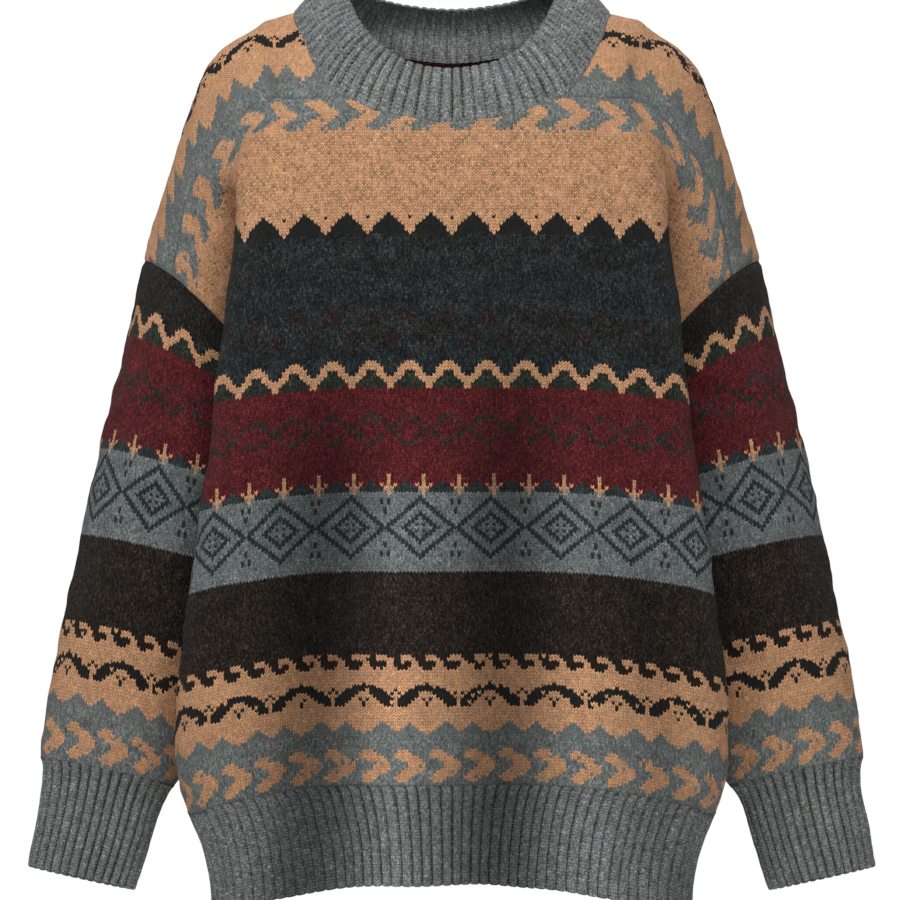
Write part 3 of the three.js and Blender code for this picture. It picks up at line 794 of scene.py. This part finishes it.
hemRib = makeRib("hem_ribbing", hemPath, hem, seed=11)
cuffLeft = makeRib("cuff_left_ribbing", cuffPath(1), cuff, seed=12)
cuffRight = makeRib("cuff_right_ribbing", cuffPath(-1), cuff, seed=13)
neckband = makeRib("neckband_ribbing", bandPath, band, seed=14)
print("ribs made:", len(hemRib.data.polygons), len(cuffLeft.data.polygons), len(neckband.data.polygons))


# The tape lies inside the back, just below the neck seam.
tape = {
    "below": 6,  # from the seam to its upper edge
    "height": 11,
    "wall": 1,
    "halfWidth": 86,
    "clear": 1.5,  # from the panel's inner face
    "behind": 20,  # it keeps this far behind the middle of the side
    "places": (1200, 5),  # places round the neck, and how many of them there are to a mesh line
    "lines": 7,  # mesh lines along it
    "rowsMeasured": (11.2, 12.2),  # the length between these at the back turns its height into rows
}


def makeTape():
    count, every = tape["places"]
    ring = roundNeck(np.linspace(0, 1, count))
    seam = bodyPoint(ring[:, 0], ring[:, 1])
    within = (seam[:, 1] > tape["behind"]) & (np.abs(seam[:, 0]) < tape["halfWidth"])
    ring = ring[within][::every]
    above, under = tape["rowsMeasured"]
    rowLength = np.linalg.norm(bodyPoint(above, 0) - bodyPoint(under, 0))
    drop = (tape["below"] + tape["height"] * np.linspace(1, 0, tape["lines"]))[:, None] / rowLength
    rows, across = np.broadcast_arrays(ring[None, :, 0] + drop, ring[None, :, 1])
    points = bodyPoint(rows, across) - bodyNormal(rows, across) * (body["wall"] + tape["clear"])
    height = np.linspace(0, tape["height"], tape["lines"])[:, None]
    stitches = np.stack(np.broadcast_arrays(lengthsAlong(points), height), axis=-1)
    made = makePiece("neck_tape_woven", points, stitches)
    shell = made.modifiers.new("wall", "SOLIDIFY")
    shell.thickness = tape["wall"] * 0.001
    shell.offset = 1
    return made


neckTape = makeTape()
print("tape made:", len(neckTape.data.polygons))


# For each CAD node: the piece that stands for it, its material slot, and the size it was cut to in metres.
pieces = {
    "front_panel": (front, "jacquard_knit", (0.52, 0.6)),
    "back_panel": (back, "jacquard_knit", (0.56, 0.79)),
    "sleeve_left": (sleeveLeft, "jacquard_knit", (0.41, 0.4)),
    "sleeve_right": (sleeveRight, "jacquard_knit", (0.41, 0.4)),
    "cuff_left": (cuffLeft, "rib_knit", (0.4, 0.086)),
    "cuff_right": (cuffRight, "rib_knit", (0.4, 0.086)),
    "hem_rib": (hemRib, "rib_knit", (1.5, 0.077)),
    "neckband": (neckband, "rib_knit", (0.95, 0.05)),
    "neck_tape": (neckTape, "woven_tape", (0.16, 0.011)),
}
for node, (piece, slot, cut) in pieces.items():
    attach(piece, "root")
    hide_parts(node)

for piece in (front, back, hemRib):  # painted shade: the wool is made darker in the folds and lighter on the ridges, by their depth
    spots = np.array([vert.co for vert in piece.data.vertices]) * 1000
    hollow = piece.data.attributes.new("hollow", "FLOAT", "POINT")
    hollow.data.foreach_set("value", foldDepth(spots) / fullyShadedFold)


class Wire:  # a socket that takes part in Python expressions; each operator adds a Math node
    def __init__(self, shop, socket):
        self.shop, self.socket = shop, socket

    def math(self, operation, *others):
        sockets = {i: value for i, value in enumerate((self, *others))}
        return self.shop.node("ShaderNodeMath", {"operation": operation}, sockets)

    def __add__(self, other):
        return self.math("ADD", other)

    def __radd__(self, other):
        return self.math("ADD", other)

    def __sub__(self, other):
        return self.math("SUBTRACT", other)

    def __rsub__(self, other):
        return self.math("MULTIPLY", -1).math("ADD", other)

    def __mul__(self, other):
        return self.math("MULTIPLY", other)

    def __rmul__(self, other):
        return self.math("MULTIPLY", other)

    def __truediv__(self, other):
        return self.math("DIVIDE", other)

    def __pow__(self, other):
        return self.math("POWER", other)

    def __rpow__(self, other):
        return self.shop.node("ShaderNodeMath", {"operation": "POWER"}, {0: other, 1: self})

    def __mod__(self, other):
        return self.math("FLOORED_MODULO", other)

    def __abs__(self):
        return self.math("ABSOLUTE")

    def __lt__(self, other):
        return self.math("LESS_THAN", other)

    def __gt__(self, other):
        return self.math("GREATER_THAN", other)

    def floor(self):
        return self.math("FLOOR")

    def fraction(self):
        return self.math("FRACT")

    def least(self, other):
        return self.math("MINIMUM", other)

    def most(self, other):
        return self.math("MAXIMUM", other)

    def clamped(self, low=0, high=1):
        return self.most(low).least(high)

    def between(self, low, high):  # a mask
        return (self > low) * (self < high)


class Finish:  # one procedural material
    def __init__(self, name):
        self.material = bpy.data.materials.new(name)
        self.material.use_nodes = True
        self.tree = self.material.node_tree
        self.shader = self.tree.nodes["Principled BSDF"]

    def node(self, kind, settings=None, sockets=None, out=0):
        made = self.tree.nodes.new(kind)
        for key, value in (settings or {}).items():
            if key == "stops":
                ramp = made.color_ramp
                for place, _ in value[len(ramp.elements):]:
                    ramp.elements.new(place)
                for element, (place, colour) in zip(ramp.elements, value):
                    element.position, element.color = place, (*colour, 1)[:4]
            elif key == "blend":
                made.color_ramp.interpolation = value
            else:
                setattr(made, key, value)
        for key, value in (sockets or {}).items():
            self.plug(value, made.inputs[key])
        return Wire(self, made.outputs[out])

    def plug(self, value, socket):
        if isinstance(value, Wire):
            self.tree.links.new(value.socket, socket)
        else:
            socket.default_value = value

    def feed(self, **sockets):  # links or values of the shader's own sockets
        for key, value in sockets.items():
            self.plug(value, self.shader.inputs[key.replace("_", " ")])

    def mix(self, share, first, second, way="MIX"):
        settings = {"data_type": "RGBA", "blend_type": way}
        return self.node("ShaderNodeMix", settings, {0: share, 6: first, 7: second}, 2)

    def stepped(self, place, stops):  # a ramp that jumps from each colour to the next
        return self.node("ShaderNodeValToRGB", {"blend": "CONSTANT", "stops": stops}, {0: place})

    def scaled(self, colour, value):  # a colour made lighter or darker
        return self.node("ShaderNodeVectorMath", {"operation": "SCALE"}, {0: colour, 3: value})

    def vector(self, x, y, z=0.0):
        return self.node("ShaderNodeCombineXYZ", None, {0: x, 1: y, 2: z})

    def parts(self, vector):
        made = self.node("ShaderNodeSeparateXYZ", None, {0: vector}).socket.node
        return [Wire(self, socket) for socket in made.outputs]

    def other(self, wire, output):  # another output of the node that a wire comes from
        return Wire(self, wire.socket.node.outputs[output])

    def bump(self, height, distance, strength):
        sockets = {"Height": height, "Distance": distance, "Strength": strength}
        return self.node("ShaderNodeBump", None, sockets)

    def noise(self, vector, scale, detail=2.0, roughness=0.5):
        sockets = {"Vector": vector, "Scale": scale, "Detail": detail, "Roughness": roughness}
        return self.node("ShaderNodeTexNoise", None, sockets)

    def random(self, vector):
        return self.node("ShaderNodeTexWhiteNoise", {"noise_dimensions": "3D"}, {"Vector": vector})


def colour(red, green, blue):  # a colour as sRGB gives it, turned into light
    return tuple(c / 12.92 if c <= 0.04045 else ((c + 0.055) / 1.055) ** 2.4 for c in (red, green, blue))


# Each motif: its lowest row, the column where a repeat starts, and its chart, top row first.
# T is tan, D the dark yarn of its band, E an eyelet.
motifs = {
    "hemArrows": (1, 4, """
        .TTT......
        TTTTT.....
        TTTTTTT...
        ..TTTTTT..
        ....TTTTT.
        ....TTTTT.
        ...TTTTTT.
        ..TTTTTT..
        .TTTTTT...
        TTTTT.....
        .TTT......"""),
    "hemWaves": (17, 3, """
        ...D.........DD...
        ..DDD.......DDDD..
        .DDDDD.....DDDDDD.
        DDDDDDDD.DDDDDDDDD"""),
    "chain": (26, 3, """
        ........D.........
        .....DDDDDDD......
        ...DDDDDDDDDDD...D
        D.DDDDD...DDDDD.D.
        .DDDDD.....DDDDD..
        DDDDD..D.D..DDDDD.
        DDDD....D....DDDD.
        DDD.....D.....DDD."""),
    "hooks": (38, -2, """
        DD...DD
        DD....D
        DDDDD..
        DDDDD..
        .DDD..."""),
    "crosses": (95, -3, """
        .....T....
        .....T....
        D....T....
        DD.T.T.T.D
        DDD.TTT.DD
        DDDD.T.DDD
        .....T...."""),
    "lattice": (111, -17, """
        ....DDD....
        ...DDDDD...
        ..DDD.DDD..
        .DDD...DDD.
        DDD.....DDD
        DD.......DD
        DDD.....DDD
        .DDD...DDD.
        ..DDD.DDD..
        ...DDDDD...
        ....DDD...."""),
    "wave": (130, -6, """
        ....TTT....
        ...TTTTT...
        ..TTTTTTT..
        ..TTDDDTT..
        .TTTDDDTTT.
        TTTDDDDDTTT
        TTDDDDDDDTT
        TDDDDDDDDDT
        T.DDDDDDD.T"""),
    "beads": (144, -5, """
        ...DDD.....
        ..DDDDD....
        ..DDDDD....
        ..DDDDD....
        ...DDD.....
        ...........
        ...........
        D........DD
        DD.......DD
        DD......DDD
        DD.......DD
        D........DD"""),
    "peaks": (180, 0, """
        ......D.....
        E....DDD....
        ....DDDDD...
        ...DDDDDDD..
        ..DDDDDDDDD.
        ..DDDDDDDDD.
        .DDDDDDDDDDD"""),
    "yokeArrows": (213, -42, """
        .TTTT.......
        TTTTTT......
        .TTTTTT.....
        ..TTTTTT....
        ...TTTTTT...
        ....TTTTTT..
        .....TTTTT..
        ....TTTTT...
        ..TTTTTT....
        .TTTTTT.....
        TTTTTT......
        TTTTTTT...T.
        TTTTTTTTTTTT"""),
}

# Worn and tweedy motifs: the share of their stitches that shows the ground yarn.
missed = {"hemArrows": 0.06, "yokeArrows": 0.06, "lattice": 0.34, "beads": 0.3, "chain": 0.06, "hooks": 0.05}

yarn = {
    "tan": colour(0.72, 0.545, 0.41),
    "blueGrey": colour(0.395, 0.412, 0.404),
    "grey": colour(0.38, 0.402, 0.401),
    "ribGrey": colour(0.44, 0.455, 0.45),
    "brown": colour(0.14, 0.118, 0.1),
    "charcoal": colour(0.126, 0.121, 0.112),
    "navy": colour(0.126, 0.13, 0.126),
    "navyBlue": colour(0.116, 0.13, 0.137),
    "teal": colour(0.16, 0.19, 0.19),
    "green": colour(0.15, 0.165, 0.14),
    "olive": colour(0.19, 0.155, 0.14),
    "burgundy": colour(0.31, 0.115, 0.125),
    "maroon": colour(0.145, 0.115, 0.105),
    "slate": colour(0.148, 0.166, 0.17),
    "black": colour(0.13, 0.125, 0.12),
    # painted shade for the dark inside seen through the eyelets and pinholes
    "holeShade": colour(0.22, 0.13, 0.10),
}

smoothYarn = 0.2  # how much the fibres of the tan yarn vary

# Rows where a stripe starts, with its ground, its dark yarn and how much its fibres vary.
stripes = [
    (0, "blueGrey", "blueGrey", 0.45),
    (17, "tan", "blueGrey", smoothYarn),
    (22, "tan", "black", smoothYarn),
    (38, "tan", "brown", smoothYarn),
    (43, "brown", "brown", 0.85),
    (70, "grey", "teal", 0.45),
    (97, "burgundy", "teal", 0.55),
    (104, "burgundy", "olive", 0.55),
    (125, "burgundy", "green", 0.55),
    (132, "navyBlue", "green", 0.8),
    (143, "navy", "maroon", 0.8),
    (157, "navyBlue", "navy", 0.8),
    (166, "navy", "navy", 0.8),
    (180, "tan", "navy", smoothYarn),
    (213, "blueGrey", "blueGrey", 0.45),
]
chartRows = 256  # rows that a ramp of stripes is long

stitchShape = {
    "drift": (0.5, 0.7, 0.6),  # how far the stitches stray across and up, and the scale of that
    "slow": 0.2,  # scale of the slow changes of tone
    "cloud": 0.13,  # and of the cloudy bands' patches
    "sides": 0.4,  # how high the sides of a leg are, where its middle is 1
    "roundness": 0.6,
    "fibres": (1.15, 0.8, 0.37),  # scales across and up, and the shift from one column to the next
    "fibreNoise": (1.5, 2.0, 0.75),  # scale, detail and roughness
}


def knitGround(finish, lean):  # the stitches: row and column of each, its relief and its fibres
    uv = finish.node("ShaderNodeUVMap", {"uv_map": "stitches"})
    slow = finish.noise(uv, stitchShape["slow"], 1.0)
    cloud = finish.noise(uv, stitchShape["cloud"], 2.0)
    # the depth of the folds, which sets their painted shade
    hollow = finish.node("ShaderNodeAttribute", {"attribute_name": "hollow"}, {}, "Fac")
    strayAcross, strayUp, strayScale = stitchShape["drift"]
    sockets = {"Vector": uv, "Scale": strayScale, "Detail": 1.0}
    drift = finish.node("ShaderNodeTexNoise", {"noise_dimensions": "2D"}, sockets, 1)
    driftX, driftY, _ = finish.parts(drift)
    u, v, _ = finish.parts(uv)
    u, v = u + (driftX - 0.5) * strayAcross, v + (driftY - 0.5) * strayUp
    leg = abs(u.fraction() - 0.5)
    v = v - leg * lean
    column, row = u.floor(), v.floor()
    across = 1 - (leg * 4 - 1) ** 2
    along = 1 - (v.fraction() * 2 - 1) ** 2
    sides = stitchShape["sides"]
    relief = (across * (1 - sides) + sides) * along.most(0) ** stitchShape["roundness"]
    scaleU, scaleV, shift = stitchShape["fibres"]
    spot = finish.vector(u * scaleU, v * scaleV, column * shift)
    return {
        "u": u,
        "column": column,
        "row": row,
        "relief": relief,
        "fibres": finish.noise(spot, *stitchShape["fibreNoise"]),
        "strand": finish.random(finish.vector((u * 2).floor(), row)),
        "cell": finish.random(finish.vector(column, row, 7.0)),  # away from the strands' numbers
        "slow": slow,
        "cloud": cloud,
        "hollow": hollow,
    }


def fromChart(finish, stitch, row, motif):  # masks of tan and of dark where the motif's chart has them
    first, start, chart = motif
    lines = chart.split()[::-1]
    period = len(lines[0])

    def rowCode(line, marks):  # a chart row as one number below 1, a binary digit to a stitch
        bits = sum(2.0 ** -(i + 1) for i, mark in enumerate(line) if mark in marks)
        return bits + 2.0 ** -(period + 1)

    empty = "." * period
    count = len(lines) + 2
    stops = [
        (k / count, (rowCode(line, "TE"), rowCode(line, "D"), 0))
        for k, line in enumerate([empty, *lines, empty])
    ]
    codes = finish.stepped((row - (first - 1.5)) / count, stops)
    shift = 2.0 ** ((stitch["column"] - start) % period + 1)
    tanCode, darkCode, _ = finish.parts(codes)
    used = set(chart)
    oneOrMore = 0.99999  # a little below 1, because of rounding
    return [
        ((code * shift) % 2) > oneOrMore if used & set(marks) else None
        for marks, code in (("TE", tanCode), ("D", darkCode))
    ]


feel = {
    "growth": 2.718,  # 1 more makes the wool this many times as light
    "fibres": 7,  # how much the lightness changes with each
    "strands": 1.1,
    "slow": 1.2,
    "most": 1.8,
    "tint": 0.07,  # share of each strand's own tint
    "gapShade": 0.25,  # painted shade in the gaps between the stitches: they are dark by at least this, and some by 1 more
    # how much the painted shade darkens the folds and lightens the ridges
    "paintedShadeStrength": 0.85,
    # the wool is made this much lighter where there is no painted shade between the stitches, and the painted
    # shade never makes it darker than the next
    "bright": 1.12,
    "darkest": 0.08,
    "relief": (0.85, 0.4, 0.0012),  # height of the stitches and of the fibres, and metres to 1 of it
}


def wool(finish, ground, colour, vary, depth, gapShade):  # fibres, relief, painted shade in the folds and between the stitches, and the feel of wool on a colour
    speck = (ground["fibres"] - 0.5) * feel["fibres"] + (ground["strand"] - 0.5) * feel["strands"]
    speck = speck + (ground["slow"] - 0.5) * feel["slow"]
    tints = finish.scaled(finish.other(ground["strand"], "Color"), 2.0)
    colour = finish.mix(feel["tint"], colour, finish.mix(1.0, colour, tints, "MULTIPLY"))
    hole = (1 - ground["relief"]) ** 2 * (feel["gapShade"] + ground["cell"])
    speck = (speck * vary).clamped(-feel["most"], feel["most"])
    # painted shade in the folds, and painted light on the ridges
    lightness = feel["growth"] ** (speck - ground["hollow"] * feel["paintedShadeStrength"])
    # painted shade in the gaps between the stitches
    lightness = lightness * (feel["bright"] - hole * gapShade).most(feel["darkest"])
    colour = finish.scaled(colour, lightness)
    stitchHigh, fibreHigh, metres = feel["relief"]
    height = ground["relief"] * stitchHigh + ground["fibres"] * fibreHigh
    bump = finish.bump(height, metres, depth)
    finish.feed(Base_Color=colour, Normal=bump, Roughness=0.95, Specular_IOR_Level=0.08)
    finish.feed(Sheen_Weight=0.03, Sheen_Roughness=0.4)
    return finish.material


# The back goes on above the yoke with the hem's stripes. They turn back where the shoulder is highest.
# Stretches are counted in rows from the shoulder seam: where one starts, its rows, and the rows it shows.
shoulder = {
    "from": 227.5,
    "seam": 298,
    "seamShows": 12.01,
    "hemAgain": 211,  # a row shows the one that lies this many below it, before they turn back
    "stretches": [(0, 8, 5), (8, 8, 4), (16, 9, 5), (25, 8, 8), (33, 11, 3)],
}


def overTheShoulder(row):
    past = shoulder["seam"] - row
    stretches = shoulder["stretches"]
    shows = sum((past - start).clamped(0, rows) * (shown / rows) for start, rows, shown in stretches)
    shows = (shows + shoulder["seamShows"]).least(row - shoulder["hemAgain"]).floor()
    return row + (row > shoulder["from"]) * (shows - row)


def joined(masks):
    whole = masks[0]
    for mask in masks[1:]:
        whole = whole.most(mask)
    return whole


panelKnit = {
    "lean": 1.3,  # how steeply the legs of a stitch lean
    "depth": 0.8,  # strength of the relief
    "gapShade": (0.6, 0.6, 0.35),  # how dark their painted shade is, and how much more in yarns that vary less than this
    "clouds": (131.5, 180),  # rows of the cloudy bands
    "cloudy": (5, 0.4, 0.75),  # contrast, shift and strength
    "moss": (186.5, 213),  # rows where plain and purl go by turns
    "purl": 0.4,  # how much flatter a purl stitch is
    "pinholes": (0.8, 0.45, 0.55),  # share of purls without one, how low the relief is there, and the strength of their painted shade
}
plainAbove = ("navy", "navyBlue", "maroon", "slate")  # yarns that are charcoal on the sleeves


def jacquard(name, overShoulder=False, plainUpper=False):
    finish = Finish(name)
    ground = knitGround(finish, panelKnit["lean"])
    row = overTheShoulder(ground["row"]) if overShoulder else ground["row"]
    place = (row + 0.9) / chartRows
    shade = {**yarn, **{key: yarn["charcoal"] for key in plainAbove}} if plainUpper else yarn
    grounds = [(first / chartRows, (*shade[base], vary)) for first, base, _, vary in stripes]
    darks = [(first / chartRows, shade[dark]) for first, _, dark, _ in stripes]
    base = finish.stepped(place, grounds)
    vary = finish.other(base, "Alpha")
    dark = finish.stepped(place, darks)
    contrast, shift, strength = panelKnit["cloudy"]
    cloudy = ((ground["cloud"] - 0.5) * contrast + shift).clamped(0, 1) * row.between(*panelKnit["clouds"])
    base = finish.mix(cloudy * strength, base, (*shade["slate"], 1))
    tans, blacks = [], []
    eyelets = None
    for key, motif in motifs.items():
        tan, black = fromChart(finish, ground, row, motif)
        if key in missed:
            kept = ground["cell"] > missed[key]
            tan, black = tan and tan * kept, black and black * kept
        if key == "peaks":
            eyelets = tan
        elif tan:
            tans.append(tan)
        if black:
            blacks.append(black)
    blacks.append(diamonds(ground["column"], row))
    tanMask = joined(tans)
    cloth = finish.mix(joined(blacks), base, dark)
    cloth = finish.mix(tanMask, cloth, (*yarn["tan"], 1))
    purl = (((ground["column"] + row) % 2) > 0.5) * row.between(*panelKnit["moss"])
    without, low, strength = panelKnit["pinholes"]
    pinholes = purl * (ground["cell"] > without) * (ground["relief"] < low)
    # painted shade in the eyelets and pinholes, for the dark inside seen through them
    cloth = finish.mix(eyelets.most(pinholes * strength), cloth, (*yarn["holeShade"], 1))
    vary = vary + tanMask * (smoothYarn - vary)
    ground["relief"] = ground["relief"] * (1 - purl * panelKnit["purl"])
    gapShade, more, smooth = panelKnit["gapShade"]
    return wool(finish, ground, cloth, vary, panelKnit["depth"], gapShade + (vary < smooth) * more)


# The diamonds' middle, and then, in stitches from it, the bounds of each of their marks. A ring, and the
# heart in it, are bounded by stitches across and rows up or down added together.
diamond = {
    "middleRow": 84,
    "column": -9,
    "repeat": 20,
    "ring": (8.5, 10.5),
    "heart": (3.5, 5.5),
    "dot": (0.5, 1.5),
    "pair": ((8.5, 9.5), (7.5, 9.5)),  # across, and up or down
    "single": (9.5, (4.5, 6.5)),
    "reach": 12.5,
}


def diamonds(column, row):
    half = diamond["repeat"] / 2
    x = abs((column - diamond["column"] + half) % diamond["repeat"] - half)
    y = abs(row - diamond["middleRow"])
    far = x + y
    dots = x.between(*diamond["dot"]) * y.between(*diamond["dot"])
    pairX, pairY = diamond["pair"]
    singleX, singleY = diamond["single"]
    marks = [
        far.between(*diamond["ring"]),
        far.between(*diamond["heart"]),
        dots,
        x.between(*pairX) * y.between(*pairY),
        (x > singleX) * y.between(*singleY),
    ]
    return joined(marks) * (y < diamond["reach"])


ribKnitting = {
    "lean": 0.9,
    "groove": (0.42, 0.11),  # painted shade in a groove: how much darker it is, and its half width as a share of a rib
    "vary": 0.42,
    "depth": 0.9,
    # how dark the painted shade in the gaps between the stitches is
    "gapShade": 0.9,
}


def ribbing(name, tone):
    finish = Finish(name)
    ground = knitGround(finish, ribKnitting["lean"])
    grooveShade, halfWidth = ribKnitting["groove"]
    fromGroove = abs((ground["u"] / rib["stitches"] - 0.5 / rib["stitches"] + 0.5) % 1 - 0.5)
    # painted shade in the grooves between the ribs
    shade = 1 - grooveShade * feel["growth"] ** ((fromGroove / halfWidth) ** 2 * -1)
    tone = finish.scaled(tone, shade)
    return wool(finish, ground, tone, ribKnitting["vary"], ribKnitting["depth"], ribKnitting["gapShade"])


twill = {
    "middle": colour(0.66, 0.33, 0.30),
    "edges": colour(0.45, 0.2, 0.18),
    "edge": 1.1,  # width of an edge
    "lines": 1.6,  # slanting lines to a millimetre
    "shade": (0.5, 0.6),  # how much lighter the lines are, and how light it is between them
    "relief": (0.0003, 0.6),  # metres, strength
}


def tapeWeave(name):
    finish = Finish(name)
    uv = finish.node("ShaderNodeUVMap", {"uv_map": "stitches"})
    u, v, _ = finish.parts(uv)
    line = ((u + v) * twill["lines"]).fraction()
    ridge = 1 - (line * 2 - 1) ** 2
    edges = abs(v - tape["height"] / 2) > tape["height"] / 2 - twill["edge"]
    cloth = finish.mix(edges, (*twill["middle"], 1), (*twill["edges"], 1))
    lighter, between = twill["shade"]
    cloth = finish.scaled(cloth, ridge * lighter + between)
    finish.feed(Base_Color=cloth, Normal=finish.bump(ridge, *twill["relief"]), Roughness=0.8)
    return finish.material


front.data.materials.append(jacquard("front_jacquard"))
back.data.materials.append(jacquard("back_jacquard", overShoulder=True))
sleeveKnit = jacquard("sleeve_jacquard", plainUpper=True)
for piece in (sleeveLeft, sleeveRight):
    piece.data.materials.append(sleeveKnit)
ribKnit = ribbing("grey_ribbing", yarn["ribGrey"])
for piece in (hemRib, cuffLeft, cuffRight, neckband):
    piece.data.materials.append(ribKnit)
neckTape.data.materials.append(tapeWeave("tape_twill"))
print("materials made:", sum(len(m.node_tree.nodes) for m in bpy.data.materials if m.node_tree), "nodes")


# The studio, in metres: a pale floor below the hanging sweater, four soft lamps and a white room.
floorSize, floorBelow = 10, 0.35
lamps = {  # place, what it points at, size and power
    "key": ((-1.5, -1.9, 1.6), (0, 0, -0.2), 0.9, 43),
    "top": ((0, -0.8, 1.2), (0, 0.03, -0.06), 0.5, 14),
    "fill": ((1.1, -3.0, -0.2), (0, 0, -0.45), 1.4, 20),
    "back": ((0.4, 2.6, 1.4), (0, 0, -0.35), 1.8, 45),
}
room = {"light": 0.37, "seen": 1.0}  # how bright it is for the wool, and for the camera
view = {"distance": 5.0, "x": -0.0015, "z": -0.3373, "lens": 254.0, "sensor": 36}


def makeFloor():
    bpy.ops.mesh.primitive_plane_add(size=floorSize, location=(0, 0, cadBox[0].z - floorBelow))
    floor = bpy.context.object
    floor.name = "floor"
    paint = bpy.data.materials.new("floor")
    paint.use_nodes = True
    shader = paint.node_tree.nodes["Principled BSDF"]
    shader.inputs["Base Color"].default_value = (0.86, 0.86, 0.86, 1)
    shader.inputs["Roughness"].default_value = 0.9
    floor.data.materials.append(paint)


def addLight(name, place, target, size, power):
    light = bpy.data.lights.new(name, "AREA")
    light.shape, light.size, light.energy = "SQUARE", size, power
    lamp = bpy.data.objects.new(name, light)
    lamp.location = place
    lamp.rotation_euler = (Vector(target) - Vector(place)).to_track_quat("-Z", "Y").to_euler()
    bpy.context.scene.collection.objects.link(lamp)


def makeRoom():
    world = bpy.data.worlds.new("studio")
    world.use_nodes = True
    sky = world.node_tree
    seen = sky.nodes.new("ShaderNodeLightPath").outputs["Is Camera Ray"]
    strength = sky.nodes.new("ShaderNodeMapRange")
    strength.inputs["To Min"].default_value = room["light"]
    strength.inputs["To Max"].default_value = room["seen"]
    sky.links.new(seen, strength.inputs["Value"])
    sky.links.new(strength.outputs["Result"], sky.nodes["Background"].inputs["Strength"])
    sky.nodes["Background"].inputs["Color"].default_value = (1, 1, 1, 1)
    bpy.context.scene.world = world


def addCamera():
    cameraData = bpy.data.cameras.new("camera")
    cameraData.lens, cameraData.sensor_width = view["lens"], view["sensor"]
    camera = bpy.data.objects.new("camera", cameraData)
    camera.location = (view["x"], -view["distance"], view["z"])
    camera.rotation_euler = (math.pi / 2, 0, 0)
    bpy.context.scene.collection.objects.link(camera)
    bpy.context.scene.camera = camera


makeFloor()
for name, lamp in lamps.items():
    addLight(name, *lamp)
makeRoom()
addCamera()
bpy.context.scene.view_settings.view_transform = "Standard"
print("studio made:", len(lamps), "lamps")
